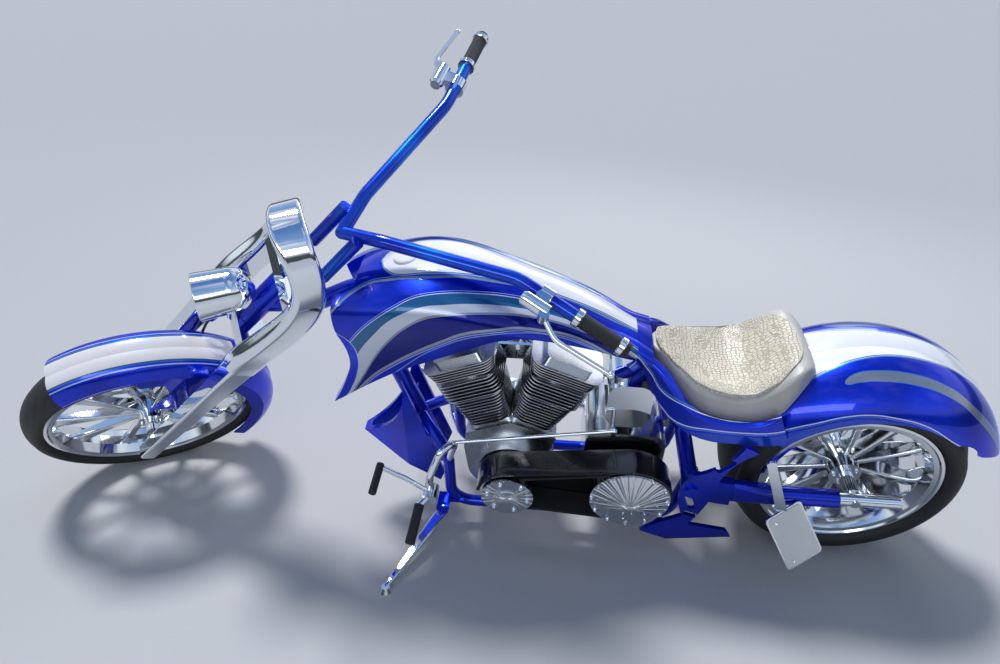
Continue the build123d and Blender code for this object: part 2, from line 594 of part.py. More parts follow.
STAND_PIVOT = Vector(1148, 168, 128)
STAND_TILT = 8.0
STAND_AXIS = Vector(0, sin(radians(STAND_TILT)), cos(radians(STAND_TILT)))
STAND_PIN_R = 7.0
lug_top = rod(t3(STAND_PIVOT + STAND_AXIS * 0.4), t3(STAND_PIVOT + STAND_AXIS * 16), 19)
lug_arm = box(1088, 1165, RAIL_Y - 8, RAIL_Y + 21, 133, 145) + box(1128, 1165, RAIL_Y + 10, 168, 133, 145)
pin = rod(t3(STAND_PIVOT - STAND_AXIS * 22), t3(STAND_PIVOT + STAND_AXIS * 10), STAND_PIN_R)
PIVOT_TUBE_R = 24.0
PIVOT_BOLT_R = 12.0
pivot_tube = across(PIVOT_X, PIVOT_Z, -RIGHT_LEG_Y + 17 + SEAT_GAP, LEFT_LEG_Y - 17 - SEAT_GAP, PIVOT_TUBE_R)
rail_left = one(largest(cradle(1) - fr["frame_downtube"] - pivot_tube), lug_arm, lug_top, pin)
rail_right = largest(cradle(-1) - fr["frame_downtube"] - pivot_tube)
rails = [rail_left, rail_right]
fr["frame_rails"] = rails

# rear plates, each with three slots and the swingarm's pivot bolt
plate_face = side_face(
    [(338, 540)], [(372, 470), (433, 420)], [(470, 385), (474, 352)], [(470, 290), (452, 235)], [(520, 190)], [(560, 150)],
    [(480, 118)], [(300, 150)], [(318, 178)], [(430, 196)], [(392, 300), (380, 352)], [(372, 420), (300, 520)])
PLATE_SLOTS = [
    # x, z, angle, length
    (372, 460, -48, 62), (440, 300, 70, 64), (432, 246, 20, 44)]


def rear_plate(sy, y_in):
    p = slab(plate_face, sy * y_in, sy * (y_in + PLATE_THICK))
    for cx, cz, ang, long in PLATE_SLOTS:
        way = (cos(radians(ang)), 0, sin(radians(ang)))
        p = p - Plane(origin=(cx, 0, cz), x_dir=way, z_dir=(0, 1, 0)) * extrude(SlotOverall(long, 18), amount=400, both=True)
    return p - across(PIVOT_X, PIVOT_Z, -400, 400, PIVOT_BOLT_R)


plates = {"left": rear_plate(1, LEFT_LEG_Y + 9), "right": rear_plate(-1, RIGHT_LEG_Y + 9)}
fr["frame_plates"] = list(plates.values())
# the pivot's tube and bolt, the stays out to the plates, and two cross-members under the engine
plate_out = {"left": LEFT_LEG_Y + 9 + PLATE_THICK, "right": RIGHT_LEG_Y + 9 + PLATE_THICK}
pivot_bolt = across(PIVOT_X, PIVOT_Z, -plate_out["right"], plate_out["left"], PIVOT_BOLT_R)
nuts = [across(PIVOT_X, PIVOT_Z, SIDES[n] * plate_out[n], SIDES[n] * (plate_out[n] + 8), 17) for n in SIDES]
STAY_X, STAY_Z = 505.0, 158.0
CROSS_R = 13.0
CROSS_X = (600.0, 950.0)
stays = [across(STAY_X, STAY_Z, SIDES[n] * (RAIL_Y + 6), SIDES[n] * (plate_out[n] - PLATE_THICK), 13) for n in SIDES]
crosses = [across(x, RAIL_Z, -RAIL_Y, RAIL_Y, CROSS_R) for x in CROSS_X]
fr["frame_cross_tubes"] = [largest(one(pivot_tube, pivot_bolt, *nuts) - fr["frame_backbone"])]
fr["frame_cross_tubes"] += [largest(s - r) for s, r in zip(stays, rails)]
fr["frame_cross_tubes"] += [largest(c - rails[0] - rails[1]) for c in crosses]

# swingarm: a deep forked gusset at the pivot running into a round leg
gusset_face = side_face(
    [(470, 352)], [(462, 385), (430, 392)], [(330, 372), (190, 358)], [(190, 308)], [(330, 282), (420, 300)],
    [(462, 318), (470, 352)])


def swing_leg(sy, y):
    back = (-1, 0, 0)
    waist = ring_loft([
        ((330, sy * (y - 4), 334), back, (0, 1, 0), 26, 78, 9),
        ((200, sy * y, REAR_TYRE_R), back, (0, 1, 0), 50, 54, 20)])
    leg = rod((200, sy * y, REAR_TYRE_R), (45, sy * y, REAR_TYRE_R), SWING_R)
    front = slab(gusset_face, sy * (y - 17), sy * (y + 8)) & box(329, 500, -400, 400, 200, 500)
    return one(front, waist, leg) - across(PIVOT_X, PIVOT_Z, -400, 400, PIVOT_BOLT_R)


fr["swingarm"] = [swing_leg(1, LEFT_LEG_Y), swing_leg(-1, RIGHT_LEG_Y)]
carriers = []
for sy, y in ((1, LEFT_LEG_Y), (-1, RIGHT_LEG_Y)):
    cyl = rod((45 - SEAT_GAP, sy * y, REAR_TYRE_R), (-118, sy * y, REAR_TYRE_R), CARRIER_R)
    scarf = Plane(origin=(-118, 0, REAR_TYRE_R + CARRIER_R), z_dir=(-1, 0, 1.1)) * Pos(0, 0, 100) * Box(400, 700, 200)
    carriers.append(cyl - scarf - across(0, REAR_TYRE_R, -400, 400, REAR_AXLE_R))
fr["axle_carriers"] = carriers
fr["rear_axle"] = one(across(0, REAR_TYRE_R, -RIGHT_LEG_Y - CARRIER_R, LEFT_LEG_Y + CARRIER_R, REAR_AXLE_R),
                      across(0, REAR_TYRE_R, REAR_HUB_HALF + 1, LEFT_LEG_Y - CARRIER_R - SEAT_GAP, 20),
                      across(0, REAR_TYRE_R, -RIGHT_LEG_Y + CARRIER_R + SEAT_GAP, BELT_Y1 - 6, 20))

# Bodywork
# tank: stations from the head back to the seat
# x, half width and its height, shoulder half width and height, top, belly half width and height;
# the wings move with the steering head, and the rest stays over the engine
NOSE = WHEELBASE - 637.0
TANK = [
    (NOSE, 122.0, 700.0, 100.0, 790.0, 812.0, 96.0, 470.0),
    (NOSE - 105.0, 150.0, 800.0, 118.0, 878.0, 903.0, 116.0, 540.0),
    (NOSE - 215.0, 168.0, 838.0, 126.0, 910.0, 937.0, 130.0, 590.0),
    (NOSE - 315.0, 172.0, 850.0, 124.0, 918.0, 943.0, 140.0, 650.0),
    (1000.0, 162.0, 838.0, 102.0, 893.0, 922.0, 140.0, 740.0),
    (890.0, 143.0, 812.0, 84.0, 858.0, 888.0, 128.0, 770.0),
    (740.0, 112.0, 760.0, 64.0, 805.0, 824.0, 100.0, 725.0),
    (630.0, 86.0, 718.0, 46.0, 745.0, 757.0, 74.0, 688.0),
]
SEAM_X = 630.0


def tank_section(x, b, zm, ys, zs, zt, bb, zb):
    """Belly flat, round side, shoulder and crowned top."""
    p = lambda y, z: Vector(x, y, z)
    z1, z2 = (zb + zm) / 2 + 12, (zm + zs) / 2 + 9
    y1, y2 = (bb + b) / 2 + 5, (b + ys) / 2 + 9
    return make_face([
        Line(p(-bb, zb), p(bb, zb)),
        ThreePointArc(p(bb, zb), p(y1, z1), p(b, zm)),
        ThreePointArc(p(b, zm), p(y2, z2), p(ys, zs)),
        ThreePointArc(p(ys, zs), p(0, zt), p(-ys, zs)),
        ThreePointArc(p(-ys, zs), p(-y2, z2), p(-b, zm)),
        ThreePointArc(p(-b, zm), p(-y1, z1), p(-bb, zb))])


tank_body = loft([tank_section(*t) for t in TANK])
tank_side = side_face(
    [(SEAM_X, 1100)], [(SEAM_X, 704)], [(757, 764), (890, 808)], [(962, 812), (1031, 790)],
    [(NOSE - 305, 738), (NOSE - 194, 672)], [(NOSE - 95, 590), (NOSE - 1, 505)],
    [(NOSE - 37, 575), (NOSE - 67, 650)], [(NOSE - 79, 712), (NOSE - 63, 775)],
    [(NOSE - 47, 830), (NOSE - 37, 875)], [(NOSE - 37, 1100)])
tank = tank_body & slab(tank_side, -300, 300)
# slot between the two forward wings, the tunnels for the frame, and the room over the cylinder heads
SLOT_HALF = 68.0
tank = tank - box(NOSE - 100, NOSE + 55, -SLOT_HALF, SLOT_HALF, 400, 1100)
backbone_room = tube(BACKBONE, BACKBONE_R + SEAT_GAP, BACKBONE_BENDS)
tank = tank - backbone_room - rod(DOWN_TOP, DOWN_FOOT, DOWNTUBE_R + SEAT_GAP)
tank = tank - box(690, 1210, -97, 97, 400, 765)
fr["tank"] = largest(tank)

# tail: seat rail on each side, running into the rear fender
TAIL = [
    # x, y, z, depth, thickness
    (612, 66, 704, 36, 26), (585, 84, 682, 56, 28), (525, 130, 608, 78, 26), (470, 160, 572, 76, 24),
    (395, 174, 560, 74, 22), (320, 178, 562, 76, 20), (250, 178, 592, 96, 16)]
rail_faces = []
for i, (x, y, z, dp, th) in enumerate(TAIL):
    a = Vector(*TAIL[max(i - 1, 0)][:3])
    b = Vector(*TAIL[min(i + 1, len(TAIL) - 1)][:3])
    d = (b - a).normalized()
    side = Vector(0, 0, 1).cross(d).normalized()
    rail_faces.append(Plane(origin=Vector(x, y, z), x_dir=side, z_dir=d) * RectangleRounded(th, dp, min(th, dp) * 0.32))
rail = loft(rail_faces)
CROWN_R = REAR_TYRE_R + FENDER_GAP
fender = AT_REAR * fender_shell(CROWN_R, REAR_FENDER_HALF, 296.0, 38.0, 196.0, SHEET, 74.0)
# the tail end is cut to a rounded tongue
tongue = side_face(
    [(-140, 300)], [(-150, 520)], [(-196, 566), (-250, 530)], [(-320, 498), (-400, 446)], [(-600, 446)],
    [(-600, 200)], [(-140, 200)])
fender = fender - slab(tongue, -400, 400)
nose = loft([tank_section(SEAM_X - SEAT_GAP, *TANK[-1][1:]), tank_section(589, 98, 698, 58, 724, 736, 84, 664)])
fr["tail_body"] = largest(one(fender, rail, mirror(rail, Plane.XZ), nose - backbone_room))

# seat: silver base and cream cushion
def seat_section(x, b, z0, zt, dip):
    """Flat floor, straight sides and a dished top."""
    p = lambda y, z: Vector(x, y, z)
    return make_face([
        Line(p(-b, z0), p(b, z0)), Line(p(b, z0), p(b, zt)),
        ThreePointArc(p(b, zt), p(0, zt - dip), p(-b, zt)), Line(p(-b, zt), p(-b, z0))])


SEAT_PAN = [
    # x, half width, floor, top, dish
    (588.7, 30, 664, 696, 1), (520, 92, 590, 650, 3), (430, 138, 560, 612, 8), (320, 152, 558, 612, 10), (238, 150, 572, 640, 6)]
SEAT_PAD = [
    (588.7, 32, 700, 734, 2), (520, 92, 652, 690, 6), (430, 138, 616, 654, 18), (330, 150, 616, 654, 20),
    (280, 150, 630, 692, 14), (240, 146, 644, 722, 6)]
seat_pan = loft([seat_section(*s) for s in SEAT_PAN])
seat_pad = loft([seat_section(*s) for s in SEAT_PAD])
# the rear roll stands behind the cushion, on the fender's crown
roll_side = side_face([(244, 600)], [(244, 716)], [(231, 734), (214, 728)], [(190, 706), (184, 668)], [(180, 600)])
roll_plan = extrude(RectangleRounded(2 * 62, 2 * 146, 40), amount=900)
fender_room = AT_REAR * revolve(
    fender_outline(CROWN_R - 2.5, REAR_FENDER_HALF - 2.5, 60, CROWN_R - 74, 22), axis=Axis.Y)
seat_roll = (slab(roll_side, -146, 146) & (Pos(244, 0, 0) * roll_plan)) - fender_room
seat_pan = largest((seat_pan + seat_roll) - fr["tail_body"] - fr["frame_backbone"])
fr["seat_base"] = seat_pan
fr["seat_cushion"] = largest(seat_pad - seat_pan - fr["tail_body"])

# chin panel: a hollow pointed fairing ahead of the downtube
chin_face = side_face([(1262, 590)], [(1268, 455), (1402, 300)], [(1290, 232)], [(1165, 160)], [(1150, 200)])
chin_outer = [(1130, 84), (1262, 74), (1406, 16)]
chin_inner = [(1100, 76), (1256, 66), (1380, 10)]


def plan_prism(half_plan):
    """Upright prism on a plan given by its left half, front last."""
    left = [(x, y, 0) for x, y in half_plan]
    right = [(x, -y, 0) for x, y in reversed(half_plan)]
    return extrude(make_face(Polyline(*left, *right, close=True)), amount=700)


chin = (slab(chin_face, -90, 90) & plan_prism(chin_outer)) - plan_prism(chin_inner)
# two pegs from the downtube hold it
for z, half in ((440, 70), (300, 74)):
    chin = chin + across(on_downtube(z), z, -half, half, 8)
fr["chin_panel"] = largest(chin - fr["frame_downtube"] - rails[0] - rails[1])

# Engine and drive
CRANK = Vector(CRANK_X, 0, CRANK_Z)


def cyl_dirs(sx):
    a = radians(V_HALF) * sx
    return Vector(sin(a), 0, cos(a)), Vector(cos(a), 0, -sin(a))


def deck_pt(sx, u):
    d, e = cyl_dirs(sx)
    v = CRANK + d * DECK + e * u
    return (v.X, v.Z)


zc = CRANK_Z + DECK / cos(radians(V_HALF))
case_face = side_face(
    [deck_pt(1, 78)], [(CRANK_X, zc)], [deck_pt(-1, -78)], [(838, 330)], [(822, 230)], [(868, 165), (950, 152)],
    [(1040, 168), (1078, 240)], [(1088, 330)])
case = slab(case_face, -84, 84)
case = case + across(CRANK_X, CRANK_Z, 84, 118, 92) + across(CRANK_X, CRANK_Z, -112, -84, 100)
cam_face = side_face([(1040, 330)], [(950, 400), (860, 330)], [(840, 250), (905, 190)], [(995, 190)], [(1060, 250), (1040, 330)])
case = case + slab(cam_face, -142, -84)
case = case + box(CROSS_X[1] - 20, CROSS_X[1] + 20, -60, 60, RAIL_Z + CROSS_R + SEAT_GAP, 170)
fr["crankcase"] = case


def cylinder(sx):
    d, e = cyl_dirs(sx)
    at = lambda h: Plane(origin=CRANK + d * (DECK + SEAT_GAP + h), x_dir=e, z_dir=d)
    core = at(0) * Pos(0, 0, (BARREL + HEAD_H) / 2) * Cylinder(CYL_CORE_R, BARREL + HEAD_H)
    out = core + at(0) * extrude(RectangleRounded(136, 136, 20), amount=8)
    n = int((BARREL - 8) / FIN_PITCH)
    for k in range(n):
        h = 12 + k * FIN_PITCH
        w = 128 + 40 * (k / n)
        out = out + at(h) * extrude(RectangleRounded(w, 160, 34), amount=FIN_THICK)
    for k in range(int(HEAD_H / (FIN_PITCH + 1))):
        h = BARREL + 4 + k * (FIN_PITCH + 1)
        out = out + at(h) * extrude(RectangleRounded(176, 168, 30), amount=FIN_THICK)
    return out


V_GAP = 1.0                 # half the gap where the two finned cylinders meet
ahead = box(CRANK_X + V_GAP, 2000, -300, 300, 0, 2000)
behind = box(0, CRANK_X - V_GAP, -300, 300, 0, 2000)
cylinders = [cylinder(1) & ahead, cylinder(-1) & behind]
fr["cylinders"] = cylinders
rockers = []
for sx in (1, -1):
    d, e = cyl_dirs(sx)
    at = lambda h: Plane(origin=CRANK + d * (DECK + BARREL + HEAD_H + 2 * SEAT_GAP + h), x_dir=e, z_dir=d)
    r = at(0) * extrude(RectangleRounded(150, 120, 14), amount=34)
    r = r + at(34) * extrude(RectangleRounded(136, 106, 12), amount=22)
    rockers.append(r - fr["tank"] - fr["frame_backbone"])
fr["rocker_boxes"] = [largest(rockers[0] & ahead), largest(rockers[1] & behind)]

# pushrod tubes and lifter blocks on the right
push = []
for sx in (1, -1):
    d, e = cyl_dirs(sx)
    for u in (-18, 22):
        foot = CRANK + d * 118 + e * (u * 0.8) + Vector(0, -120, 0)
        top = CRANK + d * (DECK + BARREL + 40) + e * u + Vector(0, -96, 0)
        push.append(largest(rod(t3(foot), t3(top), 10) - fr["crankcase"] - cylinders[0] - cylinders[1]))
fr["pushrod_tubes"] = push

# carburettor and round air cleaner between the cylinders, on the right
intake = box(CRANK_X - 74, CRANK_X + 74, -96, -84.3, 536, 590)
fr["air_cleaner"] = one(
    intake, across(CRANK_X, 560, -150, -90, 24), across(CRANK_X, 560, -196, -150, 78), across(CRANK_X, 560, -204, -196, 60))

# exhaust: one pipe from each head, swept down and back along the right side
EXHAUST_R = 22.0
EXHAUST_Y = -268.0
FRONT_PIPE = [(1128, -30, 537), (1180, -52, 512), (1150, -130, 400), (1075, -190, 240), (940, -235, 196),
              (640, EXHAUST_Y, 190), (250, EXHAUST_Y, 190)]
REAR_PIPE = [(772, -30, 537), (728, -64, 508), (704, -170, 420), (640, -262, 300), (560, EXHAUST_Y, 266),
             (235, EXHAUST_Y, 262)]
pipes = [tube(FRONT_PIPE, EXHAUST_R, [45, 90, 120, 200, 300]), tube(REAR_PIPE, EXHAUST_R, [40, 60, 70, 90])]
fr["exhaust_pipes"] = [largest(p - c) for p, c in zip(pipes, cylinders)]

# gearbox, oil tank
gearbox = fillet(box(512, 738, -96, 100, 205, 440).edges().filter_by(Axis.Y), 40)
gearbox = gearbox + box(CROSS_X[0] - 20, CROSS_X[0] + 20, -60, 60, RAIL_Z + CROSS_R + SEAT_GAP, 215)
gearbox = gearbox + across(CLUTCH_X, CLUTCH_Z, BELT_Y0, -90, 26)
gearbox = gearbox + across(CLUTCH_X, CLUTCH_Z, BELT_Y1, BELT_Y0, GEARBOX_PULLEY_R - SEAT_GAP)
fr["gearbox"] = largest(gearbox - fr["frame_backbone"])
oil = fillet(box(570, 690, -90, 90, 462, 618).edges().filter_by(Axis.Y), 40)
oil = oil + rod((655, 58, 600), (655, 58, 640), 24)
for y in (-55, 55):
    for x in (600, 660):
        oil = oil + rod((x, y, 440 + SEAT_GAP), (x, y, 470), 11)
fr["oil_tank"] = largest(oil - fr["frame_backbone"] - fr["tail_body"] - fr["seat_base"])

# primary drive: motor plate, pulley, clutch, belt, guard
PY0, PY1 = PRIMARY_Y0, PRIMARY_Y0 + PRIMARY_WIDE


def racetrack(far, near, r1, r2):
    """Outline round two pulleys in the XZ plane: radius r1 at far, r2 at near."""
    dx, dz = far[0] - near[0], far[1] - near[1]
    base = atan2(dz, dx)
    beta = asin((r1 - r2) / hypot(dx, dz))
    up, down = base + radians(90) + beta, base - radians(90) - beta
    at = lambda c, r, a: (c[0] + r * cos(a), c[1] + r * sin(a))
    return side_face([at(near, r2, up)], [at(far, r1, up)], [at(far, r1, base), at(far, r1, down)],
                     [at(near, r2, down)], [at(near, r2, base + radians(180)), at(near, r2, up)])


CRANK_C, CLUTCH_C, REAR_C = (CRANK_X, CRANK_Z), (CLUTCH_X, CLUTCH_Z), (0.0, REAR_TYRE_R)
BELT_IN_1, BELT_IN_2 = 52.0, 98.0
motor_plate = slab(racetrack(CRANK_C, CLUTCH_C, 82, 112), 118 + SEAT_GAP, PY0 - 2)
fr["motor_plate"] = motor_plate - across(CRANK_X, CRANK_Z, 100, 200, 22) - across(CLUTCH_X, CLUTCH_Z, 100, 200, 56.5)
fr["primary_pulley"] = one(
    across(CRANK_X, CRANK_Z, 118 + SEAT_GAP, PY0, 21),
    across(CRANK_X, CRANK_Z, PY0, PY1, BELT_IN_1 - SEAT_GAP),
    across(CRANK_X, CRANK_Z, PY1, PY1 + SEAT_GAP, 40),
    across(CRANK_X, CRANK_Z, PY1 + SEAT_GAP, PY1 + 14, PULLEY_R),
    across(CRANK_X, CRANK_Z, PY1 + 14, PY1 + 18, 26))
fr["clutch"] = one(
    across(CLUTCH_X, CLUTCH_Z, 100 + SEAT_GAP, PY0, 56),
    across(CLUTCH_X, CLUTCH_Z, PY0, PY1, BELT_IN_2 - SEAT_GAP),
    across(CLUTCH_X, CLUTCH_Z, PY1, PY1 + 6, CLUTCH_R),
    rod((CLUTCH_X, PY1 + 6, CLUTCH_Z), (CLUTCH_X, PY1 + 30, CLUTCH_Z), CLUTCH_R - 8, 14))
belt = slab(racetrack(CRANK_C, CLUTCH_C, BELT_IN_1 + 8, BELT_IN_2 + 8), PY0 + 1, PY1 - 1)
belt = belt - slab(racetrack(CRANK_C, CLUTCH_C, BELT_IN_1, BELT_IN_2), PY0 - 5, PY1 + 5)
fr["primary_belt"] = belt
guard = slab(racetrack(CRANK_C, CLUTCH_C, 90, 120), PY0 - 2 + SEAT_GAP, PY1 + 4)
guard = guard - slab(racetrack(CRANK_C, CLUTCH_C, 80, 114), PY0 + 1, PY1 + 10)
guard = guard - across(CRANK_X, CRANK_Z, 100, 200, 60) - across(CLUTCH_X, CLUTCH_Z, 100, 200, 100)
guard = guard & box(CLUTCH_X - 300, CRANK_X + 300, 0, 400, CRANK_Z + 10, 600)
fr["belt_guard"] = guard
# final belt on the right
final_out = racetrack(CLUTCH_C, REAR_C, GEARBOX_PULLEY_R + BELT_THICK, REAR_PULLEY_R + BELT_THICK)
final_in = racetrack(CLUTCH_C, REAR_C, GEARBOX_PULLEY_R, REAR_PULLEY_R)
fr["final_belt"] = slab(final_out, BELT_Y1 + 0.5, BELT_Y0 - 0.5) - slab(final_in, BELT_Y1 - 5, BELT_Y0 + 5)

# rear brake caliper over the disc
CALIPER_ANGLE = 12.0
rear_disc_mid = REAR_DISC_Y - 3.0
caliper_way = Vector(cos(radians(CALIPER_ANGLE)), 0, sin(radians(CALIPER_ANGLE)))


def radial_box(y0, y1, r0, r1, wide):
    """Block between two radii along the caliper's arm."""
    o = REAR_AXLE + caliper_way * ((r0 + r1) / 2)
    plane = Plane(origin=(o.X, (y0 + y1) / 2, o.Z), x_dir=(0, 1, 0), z_dir=caliper_way)
    return plane * Box(abs(y1 - y0), wide, r1 - r0)


ARM_Y0, ARM_Y1 = BELT_Y1 - 8.0, -RIGHT_LEG_Y + SWING_R + SEAT_GAP
BRIDGE_R = REAR_PULLEY_R + 10.0
cal2 = radial_box(rear_disc_mid - 18, rear_disc_mid + 18, 104, BRIDGE_R + 2, 80)
cal2 = cal2 - across(0, REAR_TYRE_R, rear_disc_mid - 6, rear_disc_mid + 6, REAR_DISC_R + 6)
cal2 = cal2 + radial_box(ARM_Y1, rear_disc_mid + 18, BRIDGE_R, BRIDGE_R + 14, 40)
cal2 = cal2 + radial_box(ARM_Y1, ARM_Y0, 10, BRIDGE_R + 14, 40)
cal2 = cal2 + across(0, REAR_TYRE_R, ARM_Y1, ARM_Y0, 32)
fr["rear_caliper"] = largest(cal2 - across(0, REAR_TYRE_R, -300, 0, 20))

# forward controls: a curved bracket, a hub, the peg and the long arm with its toe peg
BRACKETS = {
    "left": ([(1126, RAIL_Y + 2, 318), (1102, 136, 410), (1140, 178, 408), (1170, 206, 330), (1172, 208, 262)], [26, 24, 30]),
    "right": ([(1130, RAIL_Y + 2, 150), (1160, 175, 190), (1172, 208, 262)], [40]),
}
HUB = Vector(1172, 208, 262)


def forward_control(name):
    sy = SIDES[name]
    pts, bends = BRACKETS[name]
    bracket = tube([(x, sy * y, z) for x, y, z in pts], 11, bends)
    hub = across(HUB.X, HUB.Z, sy * 186, sy * 234, 23)
    root = rod((1180, sy * 228, 262), (1197, sy * 252, 258), 11)
    arm = tube([(1176, sy * 214, 275), (1240, sy * 214, 330), (1306, sy * 214, 372)], 7, [150])
    return one(bracket, hub, root, arm)


def pegs(sy):
    """Rubber foot peg and toe peg."""
    return [rod((1197, sy * 252, 258), (1206, sy * 362, 236), 14),
            rod((1306, sy * 206, 372), (1310, sy * 300, 366), 11)]


controls = [forward_control(n) for n in SIDES]
fr["foot_pegs"] = [largest(p - c) for c, sy in zip(controls, (1, -1)) for p in pegs(sy)]
fr["foot_controls"] = [c - r for c, r in zip(controls, rails)]
shift_rod = one(rod((1104, 136, 404), (664, 131, 488), 5), rod((664, 131, 488), (664, 96, 424), 6))
fr["shift_rod"] = largest(shift_rod - controls[0] - fr["gearbox"])

# side-mounted plate holder
PLATE_ARM_Y = LEFT_LEG_Y + SWING_R + 20
strip = slab(side_face([(262, 516)], [(276, 526), (284, 508)], [(216, 322)], [(186, 322)]), PLATE_ARM_Y, PLATE_ARM_Y + 6)
stub = largest(across(206, 338, LEFT_LEG_Y, PLATE_ARM_Y + 1, 9) - fr["swingarm"][0])
PLATE_TOP, PLATE_LOW = Vector(200, PLATE_ARM_Y + 3, 326), Vector(112, PLATE_ARM_Y + 46, 176)
plate_up = (PLATE_TOP - PLATE_LOW).normalized()
plate_faces = Vector(-0.45, 0.89, 0)
plate_out_dir = (plate_faces - plate_up * plate_up.dot(plate_faces)).normalized()
plate_at = Plane(origin=(PLATE_TOP + PLATE_LOW) * 0.5, x_dir=plate_up, z_dir=plate_out_dir)
holder = plate_at * extrude(RectangleRounded(190, 112, 12), amount=5)
fr["plate_holder"] = one(strip, holder, stub)

# Side stand
FOOT_X, FOOT_Y = 1271.0, 435.0
foot = Vector(FOOT_X, FOOT_Y, ground_z(FOOT_X, FOOT_Y))
eye = rod(t3(STAND_PIVOT - STAND_AXIS * 20), t3(STAND_PIVOT), 19)
ankle = foot + UP * 12
start = STAND_PIVOT - STAND_AXIS * 10
d = (ankle - start).normalized()
side = UP.cross(d).normalized()
blade = ring_loft([
    (t3(start + d * 10), t3(d), t3(side), 34, 16, 6),
    (t3(start + (ankle - start) * 0.45), t3(d), t3(side), 28, 15, 5),
    (t3(ankle), t3(d), t3(side), 13, 12, 4)])
pad = rod(t3(foot), t3(foot + UP * 14), 20, 12)
stand = one(eye, blade, pad)
stand = stand - rod(t3(STAND_PIVOT - STAND_AXIS * 60), t3(STAND_PIVOT + STAND_AXIS * 60), STAND_PIN_R + RUN_FIT)
stand = stand - rod(t3(STAND_PIVOT), t3(STAND_PIVOT + STAND_AXIS * 30), 24)
bodies["side_stand"]["side_stand"] = stand


# Stand the machine up as it rests, with its origin under the middle of its box
def flat(shape):
    """All solids of a node, as a list."""
    out = []
    for s in (shape if isinstance(shape, (list, tuple)) else [shape]):
        out += list(s.solids())
    return out


placed = {}
for body, nodes in bodies.items():
    for node, shape in nodes.items():
        solids = flat(shape)
        if body in ("steering", "front_wheel"):
            solids = [s.rotate(STEER_AXIS, STEER_STOP) for s in solids]
        placed[node] = [s.moved(STAND) for s in solids]
boxes = [s.bounding_box() for n in placed.values() for s in n]
SHIFT = Vector(-(min(b.min.X for b in boxes) + max(b.max.X for b in boxes)) / 2,
               -(min(b.min.Y for b in boxes) + max(b.max.Y for b in boxes)) / 2, 0)
for node, solids in placed.items():
    solids = [s.moved(Location(t3(SHIFT))) for s in solids]
    export_step(solids[0] if len(solids) == 1 else Compound(children=solids), "parts/" + node + ".step")


def at_rest(v, steered_too=False):
    """A point of the upright machine, in the rest pose."""
    if steered_too:
        v = STEER_FOOT + turn(v - STEER_FOOT, S_DIR, STEER_STOP)
    return lean(v) + Vector(0, 0, LIFT) + SHIFT


def way(v, steered_too=False):
    return lean(turn(v, S_DIR, STEER_STOP) if steered_too else v)


print("SHIFT", t3(SHIFT), "PITCH", PITCH, "LIFT", LIFT)
print("JOINT steering", t3(at_rest(on_head(0.5 * (HEAD_T0 + HEAD_T1)))), t3(way(S_DIR)))
print("JOINT front_wheel", t3(at_rest(FRONT_AXLE, True)), t3(way(Vector(0, 1, 0), True)))
print("JOINT rear_wheel", t3(at_rest(REAR_AXLE)), t3(way(Vector(0, 1, 0))))
print("JOINT side_stand", t3(at_rest(STAND_PIVOT)), t3(way(STAND_AXIS)))
print("FOOT", t3(at_rest(foot)))
for n, sy in SIDES.items():
    print("MOUNT bar_" + n, t3(at_rest(on_bar(GRIP_LONG + CONTROL_IN / 2, sy), True)), t3(way(bar_way(sy), True)))
print("MOUNT plate_face", t3(at_rest((PLATE_TOP + PLATE_LOW) * 0.5 + plate_out_dir * 5)), t3(way(plate_out_dir)))
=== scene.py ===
# Finish of a long, low custom motorcycle: candy-blue paint with white panels and pinstripes, show
# chrome, a finned V-twin, billet wheels and a hand-made saddle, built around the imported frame.
import json
from math import atan2, cos, pi, radians, sin, sqrt

import bpy
from mathutils import Matrix, Vector, noise


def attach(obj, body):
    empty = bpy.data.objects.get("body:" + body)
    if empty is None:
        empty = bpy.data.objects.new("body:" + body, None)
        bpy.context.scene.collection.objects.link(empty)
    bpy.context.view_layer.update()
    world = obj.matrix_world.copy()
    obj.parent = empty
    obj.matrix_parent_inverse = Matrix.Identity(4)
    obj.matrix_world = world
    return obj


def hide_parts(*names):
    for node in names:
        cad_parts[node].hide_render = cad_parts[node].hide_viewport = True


bl_info = {
    "name": "Custom motorcycle finish",
    "version": (1, 0, 0),
    "blender": (4, 5, 0),
    "location": "3D View > Sidebar > Motorcycle",
    "description": "Paint, metals, saddle and small parts around the packed motorcycle frame",
    "category": "Object",
}

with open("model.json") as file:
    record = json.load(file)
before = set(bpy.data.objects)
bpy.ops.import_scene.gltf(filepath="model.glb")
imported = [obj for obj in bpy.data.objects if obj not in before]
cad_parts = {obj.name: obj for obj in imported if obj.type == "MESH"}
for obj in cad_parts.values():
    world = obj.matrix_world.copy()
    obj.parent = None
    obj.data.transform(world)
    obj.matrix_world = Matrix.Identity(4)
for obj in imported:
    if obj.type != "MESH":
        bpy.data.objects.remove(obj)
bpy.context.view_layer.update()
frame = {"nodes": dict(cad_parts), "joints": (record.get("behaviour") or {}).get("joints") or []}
NODES = frame["nodes"]
JOINTS = {j["name"]: j for j in frame["joints"]}

